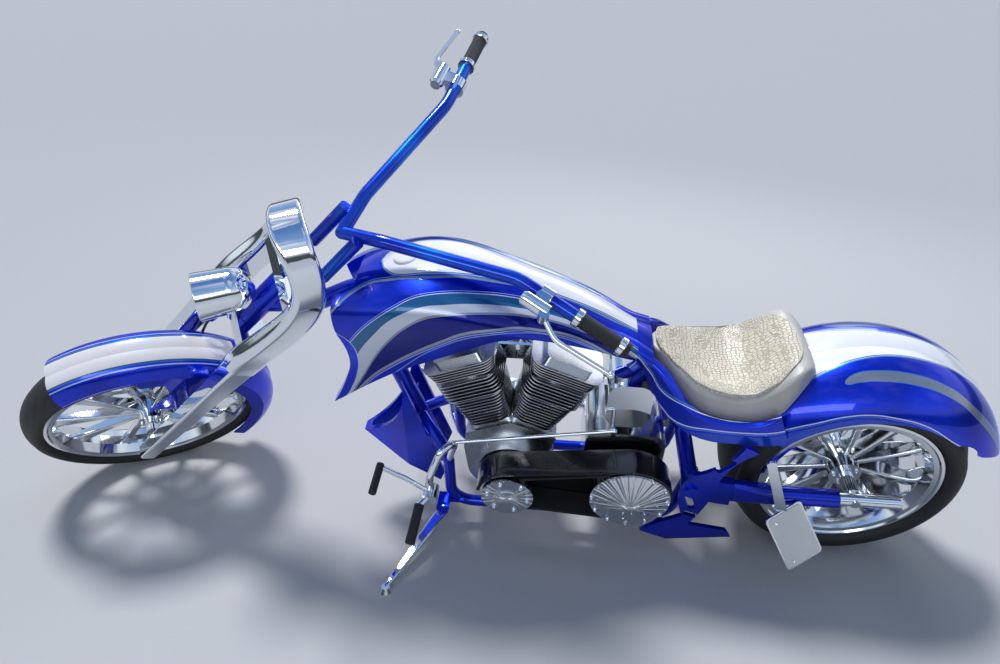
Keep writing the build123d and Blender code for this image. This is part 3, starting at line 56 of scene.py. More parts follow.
# The machine's own frame is millimetres, upright and straight ahead, with the origin under the
# rear wheel.  It stands leaning on its stand, with the steering on its left stop.
MM = 0.001
LEAN, PITCH = 12.0, 1.0588164824884463
RAKE, STEER_STOP = 44.5, 34.5
WHEELBASE, FORK_OFFSET = 2082.0, 19.0
FRONT_TYRE_R, REAR_TYRE_R = 335.0, 333.0
GRIP_LONG, GRIP_R = 128.0, 19.0
STEER_DIR = Vector((-sin(radians(RAKE)), 0, cos(radians(RAKE))))
STEER_FWD = Vector((cos(radians(RAKE)), 0, sin(radians(RAKE))))
FRONT_AXLE = Vector((WHEELBASE, 0, FRONT_TYRE_R))
STEER_FOOT = FRONT_AXLE - STEER_FWD * FORK_OFFSET

LEANED = Matrix.Rotation(radians(-LEAN), 4, "X") @ Matrix.Rotation(radians(PITCH), 4, "Y")
REAR_AXLE = Vector((0, 0, REAR_TYRE_R))
# the rear axle's place in the frame gives the machine's
AT_REST = Vector(JOINTS["rear_wheel"]["pos_m"]) / MM - LEANED @ REAR_AXLE
UPRIGHT = Matrix.Translation(AT_REST) @ LEANED
STEERED = (UPRIGHT @ Matrix.Translation(STEER_FOOT) @ Matrix.Rotation(radians(STEER_STOP), 4, STEER_DIR)
           @ Matrix.Translation(-STEER_FOOT))
TO_METRES = Matrix.Scale(MM, 4)
POSES = {"frame": UPRIGHT, "rear_wheel": UPRIGHT, "steering": STEERED, "front_wheel": STEERED}

# Places on the machine, millimetres in its own frame
CRANK, CYLINDER_LEAN = Vector((950, 0, 277)), 22.5
CLUTCH = Vector((606, 0, 290))
LAMP, LAMP_TURN = Vector((1704, 0, 863)), -6.0
BAR_BEND, BAR_END = (1021, 279, 1032), (840, 515, 1003)
FILLER = Vector((1226, 0, 938))
PIPE_ENDS = {"front_pipe_tip": Vector((250, -268, 190)), "rear_pipe_tip": Vector((235, -268, 262))}
PLATE_TOP, PLATE_LOW, PLATE_FACES = Vector((200, 236, 326)), Vector((112, 279, 176)), Vector((-0.45, 0.89, 0))
HEAD_FINS, HEAD_FIN_FOOT, HEAD_FIN_PITCH, HEAD_FIN_SIZE = 5, 352.0, 8.5, (186, 158, 3.2)
BOLT_RINGS = [
    # name, body, centre, radius, count, start angle, head's share of the bolt setting
    ("pulley_cover_bolts", "frame", (950, 218, 277), 58, 6, 10, 1.0),
    ("clutch_bolts", "frame", (606, 210, 290), 107, 12, 0, 0.8),
    ("cam_cover_bolts", "frame", (950, -142, 292), 82, 8, 20, 0.9),
    ("air_cleaner_bolts", "frame", (950, -204, 560), 44, 5, 0, 0.8),
    ("rear_pulley_bolts", "rear_wheel", (0, -183, 333), 40, 5, 36, 1.0),
    ("rear_hub_bolts", "rear_wheel", (0, 100, 333), 32, 5, 0, 0.9),
    ("front_hub_bolts", "front_wheel", (WHEELBASE, 50, FRONT_TYRE_R), 27, 5, 0, 0.8),
    ("front_disc_bolts", "front_wheel", (WHEELBASE, -65, FRONT_TYRE_R), 40, 5, 36, 0.8),
]

# Stage: the sky's colours by height, the strip lamps, and the camera, whose focal length is a
# share of the picture's width
SKY = [
    (0.0, "#565B60"), (0.05, "#3C4347"), (0.16, "#4A5357"),
    (0.24, "#DCE4EC"), (0.5, "#8FB0D8"), (1.0, "#4E78B4")]
STRIP_LAMPS = [
    # name, place, width and height in metres, watts
    ("strip_left", (0.6, 3.4, 2.2), (3.2, 0.7), 26.0), ("strip_back", (-1.0, -3.0, 2.4), (3.0, 0.8), 30.0)]
CAMERA_HEADING, CAMERA_TILT, CAMERA_ROLL = radians(3.206), radians(28.706), radians(-2.459)
CAMERA_PLACE, CAMERA_FOCUS, SENSOR = Vector((907, 1834, 1606)), 719.8 / 1000, 36.0


# Materials
def linear(hex_colour):
    """An sRGB hex colour as linear RGBA."""
    parts = [int(hex_colour[i:i + 2], 16) / 255 for i in (1, 3, 5)]
    return tuple(c / 12.92 if c <= 0.04045 else ((c + 0.055) / 1.055) ** 2.4 for c in parts) + (1.0,)


def fill(made, inputs):
    """Sets a node's inputs, by number or name, to values or to links from other nodes' outputs."""
    for name, value in inputs.items():
        if isinstance(value, bpy.types.NodeSocket):
            made.id_data.links.new(value, made.inputs[name])
        else:
            made.inputs[name].default_value = value


def put(tree, kind, inputs=(), out=0, **settings):
    """Adds a shader node with its properties and inputs; gives one output, or the node itself for None."""
    made = tree.nodes.new("ShaderNode" + kind)
    for name, value in settings.items():
        setattr(made, name, value)
    fill(made, inputs if isinstance(inputs, dict) else dict(enumerate(inputs)))
    return made if out is None else made.outputs[out]


def new_material(name):
    """An empty node material with its output, and the shader to fill in."""
    mat = bpy.data.materials.new(name)
    mat.use_nodes = True
    tree = mat.node_tree
    tree.nodes.clear()
    shader = put(tree, "BsdfPrincipled", out=None)
    put(tree, "OutputMaterial", {"Surface": shader.outputs[0]}, out=None)
    return mat, tree, shader


def set_shader(shader, **values):
    """Values and links straight onto the shader's own sockets; underscores stand for spaces."""
    fill(shader, {name.replace("_", " "): value for name, value in values.items()})


def in_frame(tree, pose, centre=(0, 0, 0)):
    """Object coordinates turned back into the upright machine's millimetres about a centre."""
    loc, rot, _ = (pose @ Matrix.Translation(Vector(centre))).decompose()
    return put(tree, "Mapping", {
        "Vector": put(tree, "TexCoord", out="Object"), "Location": loc * MM, "Rotation": rot.to_euler(),
        "Scale": (MM, MM, MM)}, vector_type="TEXTURE")


def axes_of(tree, place):
    """The x, y and z of a place."""
    return put(tree, "SeparateXYZ", (place,), out=None).outputs


def off_axle(tree, x, z):
    """Distance from an axle, which runs along y."""
    z_squared = put(tree, "Math", (z, z), operation="MULTIPLY")
    squares = put(tree, "Math", (x, x, z_squared), operation="MULTIPLY_ADD")
    return put(tree, "Math", (squares,), operation="SQRT")


def between(tree, value, low, high):
    """1 where a value lies between two others, and 0 elsewhere."""
    above = put(tree, "Math", (value, low), operation="GREATER_THAN")
    below = put(tree, "Math", (value, high), operation="LESS_THAN")
    return put(tree, "Math", (above, below), operation="MULTIPLY")


def waves(tree, value, per_unit):
    """Even waves along a value, from -1 to 1."""
    return put(tree, "Math", (put(tree, "Math", (value, per_unit), operation="MULTIPLY"),), operation="SINE")


def chrome_plate(name, hex_colour="#E9EDF2", roughness=0.045):
    """Show chrome: a mirror with a faint blue cast, and polishing haze that varies over a hand's width."""
    mat, tree, shader = new_material(name)
    haze = put(tree, "TexNoise", {"Vector": in_frame(tree, UPRIGHT), "Scale": 1 / 70, "Detail": 3.0})
    rough = put(tree, "MapRange", {"Value": haze, "To Min": roughness * 0.6, "To Max": roughness * 1.6})
    set_shader(shader, Base_Color=linear(hex_colour), Metallic=1.0, Roughness=rough)
    return mat


def cast_aluminium(name, hex_colour, roughness, grain_mm):
    """Bead-blasted or polished casting: metal with a fine grain of that size in its bump and gloss."""
    mat, tree, shader = new_material(name)
    place = in_frame(tree, UPRIGHT)
    grain = put(tree, "TexNoise", {"Vector": place, "Scale": 1 / grain_mm, "Detail": 4.0, "Roughness": 0.6})
    stain = put(tree, "TexNoise", {"Vector": place, "Scale": 1 / 45, "Detail": 2.0})
    rough = put(tree, "MapRange", {"Value": stain, "To Min": roughness * 0.75, "To Max": roughness * 1.35})
    relief = put(tree, "Bump", {"Height": grain, "Distance": 0.12 * MM, "Strength": 0.5})
    set_shader(shader, Base_Color=linear(hex_colour), Metallic=1.0, Roughness=rough, Normal=relief)
    return mat


# Paint.  Each stripe table lies over a curve: g, the height less the distance from the centre
# plane, along x, so that one pair of numbers runs from the belly over the shoulder to the crown.
CANDY_BLUE, CANDY_DEEP, CANDY_METAL = "#0834DC", "#0620A8", 0.72
PANEL_WHITE = "#E6E7EA"
# the ranges that the curves of g, of the tank's nose and of the white panel's edge are drawn in
STRIPE_HEIGHTS, NOSE_REACH, PANEL_REACH = (200.0, 1000.0), (1300.0, 1600.0), (-100.0, 150.0)
# x from the rear axle and g, in millimetres
TANK_CURVES = {
    "teal_top": [
        (630, 660), (700, 712), (764, 748), (850, 788), (964, 809), (1045, 808), (1097, 803), (1150, 791),
        (1186, 776), (1230, 742), (1275, 703), (1320, 660), (1354, 622), (1445, 500)],
    "teal_low": [
        (630, 640), (700, 690), (764, 724), (850, 758), (946, 774), (1042, 772), (1115, 760), (1158, 751),
        (1201, 729), (1241, 700), (1285, 654), (1330, 601), (1355, 560), (1445, 420)],
    "silver_low": [
        (630, 632), (700, 680), (764, 710), (850, 740), (934, 751), (1040, 743), (1114, 729), (1157, 715),
        (1202, 684), (1246, 643), (1294, 583), (1336, 517), (1380, 450), (1445, 360)],
    "navy_low": [
        (630, 600), (700, 640), (764, 678), (822, 700), (877, 705), (932, 707), (985, 695), (1066, 673),
        (1116, 647), (1181, 610), (1258, 559), (1308, 520), (1380, 440), (1445, 360)],
    "edge_low": [
        (630, 580), (700, 622), (764, 655), (822, 676), (887, 685), (931, 682), (1007, 666), (1067, 648),
        (1118, 622), (1166, 593), (1218, 550), (1300, 478), (1360, 420), (1445, 330)],
    "panel_top": [
        (630, 740), (700, 772), (764, 805), (850, 846), (1016, 870), (1081, 874), (1157, 864), (1213, 858),
        (1254, 850), (1300, 838), (1345, 802), (1383, 752), (1445, 660)],
}
TANK_STRIPES = [
    # from curve, offset, to curve, offset, colour, metallic
    ("navy_low", 0, "silver_low", -8, "#070F7A", 0.6),
    ("silver_low", -8, "silver_low", 0, "#8C94A6", 0.7),
    ("silver_low", 0, "teal_low", 0, "#C6CBD6", 0.25),
    ("teal_low", 0, "teal_top", 0, "#24608F", 0.35),
    ("teal_top", 0, "teal_top", 3, "#C9D2EC", 0.1),
    ("teal_top", 8, "teal_top", 10.5, "#8FA4E6", 0.1),
    ("navy_low", -9, "navy_low", 0, "#9BA2B4", 0.6),
    ("navy_low", -15, "navy_low", -12, "#A9B6DC", 0.3),
    ("edge_low", 3, "edge_low", 6, "#7DA2F0", 0.2),
    ("panel_top", -12, "panel_top", -2, "#8E9AAE", 0.5),
    ("panel_top", 2, "panel_top", 5, "#5FA0C4", 0.2),
]
# the tank's pointed front edge: height and how far forward, with a plain border behind it
TANK_NOSE = [
    (480, 1452), (505, 1444), (575, 1408), (650, 1378), (712, 1366), (760, 1374), (800, 1420), (860, 1500)]
NOSE_BORDER = 26.0
NOSE_LINES = [(NOSE_BORDER, "#AFC0EA", 0.1), (NOSE_BORDER - 3, CANDY_BLUE, CANDY_METAL)]
# the white panel's edges: x and distance from the centre plane
TANK_PANEL = {
    "left": [
        (610, 17), (700, 22), (785, 27), (867, 30), (1000, 42), (1100, 54), (1165, 62), (1230, 64),
        (1262, 46), (1286, 0), (1300, -60)],
    "right": [
        (610, 34), (700, 40), (800, 52), (900, 68), (1000, 82), (1100, 90), (1165, 88), (1230, 76),
        (1262, 50), (1286, 0), (1300, -60)],
}
TAIL_CURVES = {
    "pin_low": [
        (-420, 300), (-300, 330), (-186, 388), (-79, 452), (0, 472), (46, 477), (102, 468), (188, 430),
        (285, 389), (358, 384), (430, 388), (504, 402), (560, 470), (600, 540), (630, 575)],
    "pin_top": [
        (-420, 900), (205, 900), (212, 610), (222, 540), (245, 480), (285, 446), (360, 428), (430, 440),
        (490, 466), (552, 512), (595, 590), (630, 640)],
    "flash_top": [
        (-420, 330), (-300, 450), (-221, 526), (-146, 591), (-42, 631), (40, 634), (84, 622), (116, 585),
        (124, 420), (630, 400)],
    "flash_low": [
        (-420, 290), (-300, 415), (-230, 484), (-156, 550), (-50, 594), (40, 600), (84, 592), (112, 584),
        (126, 640), (630, 760)],
}
TAIL_STRIPES = [
    ("pin_low", -500, "pin_low", -14, "#1D44C8", 0.45),
    ("pin_low", -6, "pin_low", -2, "#3F79D8", 0.3),
    ("pin_low", 0, "pin_low", 4, "#D5DAF4", 0.05),
    ("pin_top", -4, "pin_top", 0, "#D5DAF4", 0.05),
    ("pin_top", 3, "pin_top", 9, "#3A7FC4", 0.3),
    ("flash_low", -3, "flash_top", 4, "#3F79C8", 0.3),
    ("flash_low", 0, "flash_top", 0, "#9A9DA2", 0.75),
]
TAIL_PANEL = {
    "left": [
        (-420, 22), (-300, 24), (-225, 26), (-130, 29), (-20, 32), (35, 38), (80, 47), (127, 60),
        (185, 80), (220, 90), (240, 96)],
    "right": [
        (-420, 40), (-300, 48), (-234, 52), (-104, 54), (34, 62), (127, 72), (185, 84), (220, 92),
        (240, 98)],
}
# how far past the panel's edge each line reaches, its colour and its metal, above a height
PANEL_LINES = [(9.0, "#2F77B4", 0.3), (5.0, "#A9BEDD", 0.1), (2.5, "#27408F", 0.4), (0.0, PANEL_WHITE, 0.0)]
PANEL_FOOT = 540.0
# the same on the front fender, from its centre plane; its edge line from the axle
FENDER_LINES = [
    (50.0, "#B7C3E8", 0.1), (47.0, CANDY_BLUE, 0.4), (42.0, "#2F6FA0", 0.3), (37.5, "#17307A", 0.3),
    (36.0, "#E2DFDC", 0.0)]
FENDER_EDGE, FENDER_PIN = (325.0, 328.0), "#B7C3E8"


def paint_curve(tree, x, points, low, high):
    """A curve of values along x, as one Float Curve node, both ends held."""
    x0, x1 = points[0][0], points[-1][0]
    ahead = put(tree, "Math", (x, x0), operation="SUBTRACT")
    factor = put(tree, "Math", (ahead, x1 - x0), operation="DIVIDE", use_clamp=True)
    made = put(tree, "FloatCurve", {"Value": factor}, out=None)
    curve = made.mapping.curves[0]
    for k, (px, value) in enumerate(points):
        at = ((px - x0) / (x1 - x0), (value - low) / (high - low))
        if k < 2:
            curve.points[k].location = at
        else:
            curve.points.new(*at)
    made.mapping.update()
    return put(tree, "Math", (made.outputs[0], high - low, low), operation="MULTIPLY_ADD")


def flake(tree, place, hex_colour):
    """The candy base with its colour shifting slightly from place to place, as sprayed."""
    cloud = put(tree, "TexNoise", {"Vector": place, "Scale": 1 / 160, "Detail": 1.0})
    shift = put(tree, "MapRange", {"Value": cloud, "From Min": 0.35, "From Max": 0.65})
    return put(tree, "Mix", {0: shift, 6: linear(CANDY_DEEP), 7: linear(hex_colour)}, out=2, data_type="RGBA")


def lay_over(tree, mask, coat, hex_colour, metallic):
    """A coat of paint, as its colour and its metal, with another laid over it where the mask is 1."""
    colour, metal = coat
    return (put(tree, "Mix", {0: mask, 6: colour, 7: linear(hex_colour)}, out=2, data_type="RGBA"),
            put(tree, "Mix", {0: mask, 2: metal, 3: metallic}))


def lacquer(shader, coat):
    """Candy lacquer: a metallic base seen through a deep clear coat, with a cyan flare at the edges."""
    set_shader(shader, Base_Color=coat[0], Metallic=coat[1], Roughness=0.28, Specular_Tint=linear("#3C7CFF"),
               Coat_Weight=0.7, Coat_Roughness=0.02,
               Sheen_Weight=0.12, Sheen_Roughness=0.3, Sheen_Tint=linear("#2FA8FF"))


def striped_paint(name, curves, stripes, panel, x_span, nose=None):
    """Candy blue with a table's stripes over it and a white panel along the crown; the nose has a border."""
    mat, tree, shader = new_material(name)
    place = in_frame(tree, UPRIGHT)
    x, y, z = axes_of(tree, place)
    inward = put(tree, "Math", (y,), operation="ABSOLUTE")
    g = put(tree, "Math", (z, inward), operation="SUBTRACT")
    lines = {key: paint_curve(tree, x, points, *STRIPE_HEIGHTS) for key, points in curves.items()}
    coat = (flake(tree, place, CANDY_BLUE), CANDY_METAL)
    for low, low_by, high, high_by, hex_colour, metallic in stripes:
        lower = put(tree, "Math", (lines[low], low_by), operation="ADD")
        upper = put(tree, "Math", (lines[high], high_by), operation="ADD")
        coat = lay_over(tree, between(tree, g, lower, upper), coat, hex_colour, metallic)
    if nose:
        behind = put(tree, "Math", (paint_curve(tree, z, nose, *NOSE_REACH), x), operation="SUBTRACT")
        for reach, hex_colour, metallic in NOSE_LINES:
            mask = put(tree, "Math", (behind, reach), operation="LESS_THAN")
            coat = lay_over(tree, mask, coat, hex_colour, metallic)
    left = paint_curve(tree, x, panel["left"], *PANEL_REACH)
    right = paint_curve(tree, x, panel["right"], *PANEL_REACH)
    past_left = put(tree, "Math", (y, left), operation="SUBTRACT")
    rightwards = put(tree, "Math", (y, -1.0), operation="MULTIPLY")
    past_right = put(tree, "Math", (rightwards, right), operation="SUBTRACT")
    outside = put(tree, "Math", (past_left, past_right), operation="MAXIMUM")
    upper_side = put(tree, "Math", (z, PANEL_FOOT), operation="GREATER_THAN")
    on_top = put(tree, "Math", (between(tree, x, *x_span), upper_side), operation="MULTIPLY")
    for reach, hex_colour, metallic in PANEL_LINES:
        within = put(tree, "Math", (outside, reach), operation="LESS_THAN")
        mask = put(tree, "Math", (on_top, within), operation="MULTIPLY")
        coat = lay_over(tree, mask, coat, hex_colour, metallic)
    lacquer(shader, coat)
    return mat


def fender_paint(name):
    """Front fender: white along the crown, teal and white lines beside it, and a pinstripe at the edge."""
    mat, tree, shader = new_material(name)
    place = in_frame(tree, STEERED, FRONT_AXLE)
    x, y, z = axes_of(tree, place)
    across_it = put(tree, "Math", (y,), operation="ABSOLUTE")
    coat = (flake(tree, place, CANDY_BLUE), CANDY_METAL)
    # the crown's lines stop behind the wheel's top
    height = put(tree, "Math", (x, 0.5, z), operation="MULTIPLY_ADD")
    forward = put(tree, "Math", (height, 40.0), operation="GREATER_THAN")
    for reach, hex_colour, metallic in FENDER_LINES:
        within = put(tree, "Math", (across_it, reach), operation="LESS_THAN")
        mask = put(tree, "Math", (forward, within), operation="MULTIPLY")
        coat = lay_over(tree, mask, coat, hex_colour, metallic)
    ahead = put(tree, "Math", (x, -60.0), operation="GREATER_THAN")
    edge = put(tree, "Math", (between(tree, off_axle(tree, x, z), *FENDER_EDGE), ahead), operation="MULTIPLY")
    pinstriped = put(tree, "Mix", {0: edge, 6: coat[0], 7: linear(FENDER_PIN)}, out=2, data_type="RGBA")
    lacquer(shader, (pinstriped, coat[1]))
    return mat


def plain_paint(name, hex_colour=CANDY_BLUE):
    """The same candy lacquer without stripes, for frame tubes, handlebar and chin panel; a lighter base
    colour passed in, as for the handlebar, is painted highlight.
    """
    mat, tree, shader = new_material(name)
    lacquer(shader, (flake(tree, in_frame(tree, UPRIGHT), hex_colour), CANDY_METAL))
    return mat


def tyre_rubber(name, pose, centre, half, outer):
    """Road tyre: near-black moulded rubber, curved water grooves on the tread drawn darker as painted shade,
    rings on the side wall.
    """
    mat, tree, shader = new_material(name)
    place = in_frame(tree, pose, centre)
    x, y, z = axes_of(tree, place)
    around = put(tree, "Math", (z, x), operation="ARCTAN2")
    reach = put(tree, "Math", (put(tree, "Math", (y,), operation="ABSOLUTE"), half), operation="DIVIDE")
    # 36 grooves round the tyre, swept back towards the shoulders
    swept = put(tree, "Math", (put(tree, "Math", (reach, 1.6), operation="POWER"), 1.6), operation="MULTIPLY")
    turns = put(tree, "Math", (around, 18 / pi, swept), operation="MULTIPLY_ADD")
    saw = put(tree, "Math", (put(tree, "Math", (turns,), operation="FRACT"), 0.5), operation="SUBTRACT")
    off_groove = put(tree, "Math", (saw,), operation="ABSOLUTE")
    groove = put(tree, "Math", (off_groove, 0.055), operation="LESS_THAN")
    cut = put(tree, "Math", (groove, between(tree, reach, 0.16, 0.78)), operation="MULTIPLY")
    radius = off_axle(tree, x, z)
    wall = put(tree, "Math", (radius, outer - 40.0), operation="LESS_THAN")
    ridge = put(tree, "Math", (waves(tree, radius, 0.75), 0.75), operation="GREATER_THAN")
    ring = put(tree, "Math", (wall, ridge), operation="MULTIPLY")
    raised = put(tree, "Math", (ring, 0.35), operation="MULTIPLY")
    height = put(tree, "Math", (raised, cut), operation="SUBTRACT")
    dust = put(tree, "TexNoise", {"Vector": place, "Scale": 1 / 22, "Detail": 4.0})
    colour = put(tree, "Mix", {0: dust, 6: linear("#121314"), 7: linear("#222325")}, out=2, data_type="RGBA")
    # painted shade: the grooves' colour is near black, darker than the rubber round them
    colour = put(tree, "Mix", {0: cut, 6: colour, 7: linear("#060606")}, out=2, data_type="RGBA")
    relief = put(tree, "Bump", {"Height": height, "Distance": 2.2 * MM, "Strength": 0.8})
    set_shader(shader, Base_Color=colour, Roughness=0.62, Normal=relief)
    return mat


def brake_steel(name, pose, centre):
    """Ground brake disc: fine turned rings that spread its reflections along the radius."""
    mat, tree, shader = new_material(name)
    x, _, z = axes_of(tree, in_frame(tree, pose, centre))
    rings = waves(tree, off_axle(tree, x, z), 4.0)
    relief = put(tree, "Bump", {"Height": rings, "Distance": 0.05 * MM, "Strength": 0.5})
    set_shader(shader, Base_Color=linear("#B8BABD"), Metallic=1.0, Roughness=0.26, Normal=relief)
    return mat


def spun_cover(name, centre):
    """Spun chrome cover: shallow radial flutes from its middle, which break its reflections into rays."""
    mat, tree, shader = new_material(name)
    x, _, z = axes_of(tree, in_frame(tree, UPRIGHT, centre))
    around = put(tree, "Math", (z, x), operation="ARCTAN2")
    broad, fine = waves(tree, around, 22.0), waves(tree, around, 57.0)
    flutes = put(tree, "Math", (fine, 0.5, broad), operation="MULTIPLY_ADD")
    relief = put(tree, "Bump", {"Height": flutes, "Distance": 1.6 * MM, "Strength": 0.6})
    set_shader(shader, Base_Color=linear("#D8DBE0"), Metallic=1.0, Roughness=0.08, Normal=relief)
    return mat


def black_rubber(name, pitch_mm):
    """Moulded rubber with fine ribs, for grips, pegs, belts and hoses."""
    mat, tree, shader = new_material(name)
    x, y, _ = axes_of(tree, in_frame(tree, UPRIGHT))
    ribs = waves(tree, put(tree, "Math", (x, y), operation="ADD"), 2 * pi / pitch_mm)
    relief = put(tree, "Bump", {"Height": ribs, "Distance": 0.6 * MM, "Strength": 0.7})
    set_shader(shader, Base_Color=linear("#19191A"), Roughness=0.55, Normal=relief)
    return mat


def black_gloss(name):
    """Powder-coated plate: black with a light orange-peel."""
    mat, tree, shader = new_material(name)
    peel = put(tree, "TexNoise", {"Vector": in_frame(tree, UPRIGHT), "Scale": 1 / 2.5})
    relief = put(tree, "Bump", {"Height": peel, "Distance": 0.1 * MM, "Strength": 0.4})
    set_shader(shader, Base_Color=linear("#0B0C0E"), Roughness=0.22, Coat_Weight=0.6, Coat_Roughness=0.08,
               Normal=relief)
    return mat


def lamp_glass(name):
    """Moulded lamp lens: clear glass with vertical flutes 6 mm apart."""
    mat, tree, shader = new_material(name)
    flutes = waves(tree, axes_of(tree, in_frame(tree, STEERED))[1], 2 * pi / 6)
    relief = put(tree, "Bump", {"Height": flutes, "Distance": 0.4 * MM, "Strength": 0.6})
    set_shader(shader, Base_Color=linear("#F2F6FA"), Roughness=0.03, Transmission_Weight=0.92, IOR=1.5,
               Normal=relief)
    return mat


def scaled_hide(name):
    """Cream embossed hide: squarish scales about 10 mm wide on top, drawn out down the sides and finer
    at the flanks, with painted shade in the creases between them, a darker pale tan, and a soft waxed sheen."""
    mat, tree, shader = new_material(name)
    place = in_frame(tree, UPRIGHT)
    warp = put(tree, "TexNoise", {"Vector": place, "Scale": 1 / 60, "Detail": 2.0}, out="Color")
    shift = put(tree, "VectorMath", {0: warp, "Scale": 26.0}, operation="SCALE")
    bent = put(tree, "VectorMath", (place, shift), operation="ADD")
    edges = []
    for size, randomness in (((11, 9, 34), 0.45), ((6, 6, 16), 0.8)):
        cells = put(tree, "VectorMath", (bent, tuple(1 / s for s in size)), operation="MULTIPLY")
        edges.append(put(tree, "TexVoronoi", {"Vector": cells, "Scale": 1.0, "Randomness": randomness},
                         feature="DISTANCE_TO_EDGE"))
    from_middle = put(tree, "Math", (axes_of(tree, place)[1],), operation="ABSOLUTE")
    flank = put(tree, "MapRange", {"Value": from_middle, "From Min": 70.0, "From Max": 110.0})
    height = put(tree, "Mix", {0: flank, 2: edges[0], 3: edges[1]})
    domed = put(tree, "MapRange", {"Value": height, "From Max": 0.16}, interpolation_type="SMOOTHSTEP")
    shade = put(tree, "TexNoise", {"Vector": place, "Scale": 1 / 30, "Detail": 3.0})
    base = put(tree, "Mix", {0: shade, 6: linear("#D3CBB6"), 7: linear("#E2DCCC")}, out=2, data_type="RGBA")
    # painted shade: the creases between the scales are drawn in a darker tan than the scales' tops
    colour = put(tree, "Mix", {0: domed, 6: linear("#B1A68C"), 7: base}, out=2, data_type="RGBA")
    relief = put(tree, "Bump", {"Height": domed, "Distance": 1.6 * MM, "Strength": 0.9})
    set_shader(shader, Base_Color=colour, Roughness=0.42, Coat_Weight=0.15, Coat_Roughness=0.3, Normal=relief)
    return mat


def pearl_leather(name):
    """Smooth silver-grey pearl leather for the sides of the saddle: a fine pore every 1.5 mm."""
    mat, tree, shader = new_material(name)
    place = in_frame(tree, UPRIGHT)
    pores = put(tree, "TexVoronoi", {"Vector": place, "Scale": 1 / 1.5})
    tone = put(tree, "TexNoise", {"Vector": place, "Scale": 1 / 80})
    colour = put(tree, "Mix", {0: tone, 6: linear("#A8A6A1"), 7: linear("#C2C0BA")}, out=2, data_type="RGBA")
    relief = put(tree, "Bump", {"Height": pores, "Distance": 0.25 * MM, "Strength": 0.4})
    set_shader(shader, Base_Color=colour, Metallic=0.12, Roughness=0.46, Normal=relief)
    return mat


def enamel(name, hex_colour, roughness=0.3):
    """Baked enamel on sheet metal, with a faint ripple."""
    mat, tree, shader = new_material(name)
    ripple = put(tree, "TexNoise", {"Vector": in_frame(tree, UPRIGHT), "Scale": 1 / 9})
    relief = put(tree, "Bump", {"Height": ripple, "Distance": 0.08 * MM, "Strength": 0.4})
    set_shader(shader, Base_Color=linear(hex_colour), Roughness=roughness, Normal=relief)
    return mat


# Modelling helpers
def clear_selection():
    if bpy.context.object and bpy.context.object.mode != "OBJECT":
        bpy.ops.object.mode_set(mode="OBJECT")
    bpy.ops.object.select_all(action="DESELECT")


def take(obj):
    """Makes a piece the only one selected."""
    clear_selection()
    obj.select_set(True)
    bpy.context.view_layer.objects.active = obj


def own(obj, name, mat, body):
    """Names a finished piece, puts its place into its mesh in the row frame, and hands it to its body."""
    take(obj)
    obj.matrix_world = TO_METRES @ POSES[body] @ obj.matrix_world
    bpy.ops.object.transform_apply(location=True, rotation=True, scale=True)
    obj.name = name
    obj.data.name = name
    obj.data.materials.clear()
    obj.data.materials.append(mat)
    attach(obj, body)
    return obj


def smooth(obj, angle=35.0):
    take(obj)
    bpy.ops.object.shade_smooth_by_angle(angle=radians(angle))


def apply_modifier(obj, kind, **settings):
    """Adds a modifier, sets it and applies it."""
    take(obj)
    mod = obj.modifiers.new(kind.title(), kind)
    for name, value in settings.items():
        setattr(mod, name, value)
    bpy.ops.object.modifier_apply(modifier=mod.name)


def pick_faces(obj, way, limit=0.9):
    """Goes to edit mode with the faces selected whose normal lies along a direction."""
    bpy.ops.object.mode_set(mode="EDIT")
    bpy.ops.mesh.select_mode(type="FACE")
    bpy.ops.object.mode_set(mode="OBJECT")
    for poly in obj.data.polygons:
        poly.select = poly.normal.dot(Vector(way)) > limit
    bpy.ops.object.mode_set(mode="EDIT")


def round_corners(obj, radius, segments):
    """Bevels the upright edges of a block, and stays in edit mode."""
    bpy.ops.object.mode_set(mode="EDIT")
    bpy.ops.mesh.select_mode(type="EDGE")
    bpy.ops.mesh.select_all(action="DESELECT")
    bpy.ops.object.mode_set(mode="OBJECT")
    for e in obj.data.edges:
        a, b = (obj.data.vertices[i].co for i in e.vertices)
        e.select = abs((a - b).normalized().z) > 0.9
    bpy.ops.object.mode_set(mode="EDIT")
    bpy.ops.mesh.bevel(offset=radius, segments=segments)


def extrude_by(depth):
    """Extrudes the selected face along its normal."""
    bpy.ops.mesh.extrude_region_move(TRANSFORM_OT_translate={"value": (0, 0, depth), "orient_type": "NORMAL"})


def step_face(inset, rise, orient="NORMAL"):
    """Insets the selected face and raises or sinks it."""
    bpy.ops.mesh.inset(thickness=inset)
    bpy.ops.transform.translate(value=(0, 0, rise), orient_type=orient)


def aim(direction):
    """Rotation that turns +Z onto a direction."""
    return Vector(direction).to_track_quat("Z", "Y").to_matrix().to_euler()


def join(pieces, name):
    """One object from several."""
    clear_selection()
    for p in pieces:
        p.select_set(True)
    bpy.context.view_layer.objects.active = pieces[0]
    bpy.ops.object.join()
    made = bpy.context.view_layer.objects.active
    made.name = name
    return made


def round_bar(sides, radius, long, at, turn):
    """A plain cylinder to shape further."""
    clear_selection()
    bpy.ops.mesh.primitive_cylinder_add(vertices=sides, radius=radius, depth=long, location=at, rotation=turn)
    return bpy.context.object


def hex_bolt(at, direction, across_mm=13.0, tall=6.0):
    """Chrome cap screw: a washer face, a head with a chamfered rim and a socket sunk in its end."""
    way = Vector(direction).normalized()
    obj = round_bar(18, across_mm / 2, tall, Vector(at) + way * (tall / 2), aim(way))
    pick_faces(obj, (0, 0, 1))
    step_face(across_mm * 0.09, 0.7)
    bpy.ops.mesh.inset(thickness=across_mm * 0.13)
    extrude_by(-tall * 0.5)
    bpy.ops.object.mode_set(mode="OBJECT")
    return obj


MATS = {}


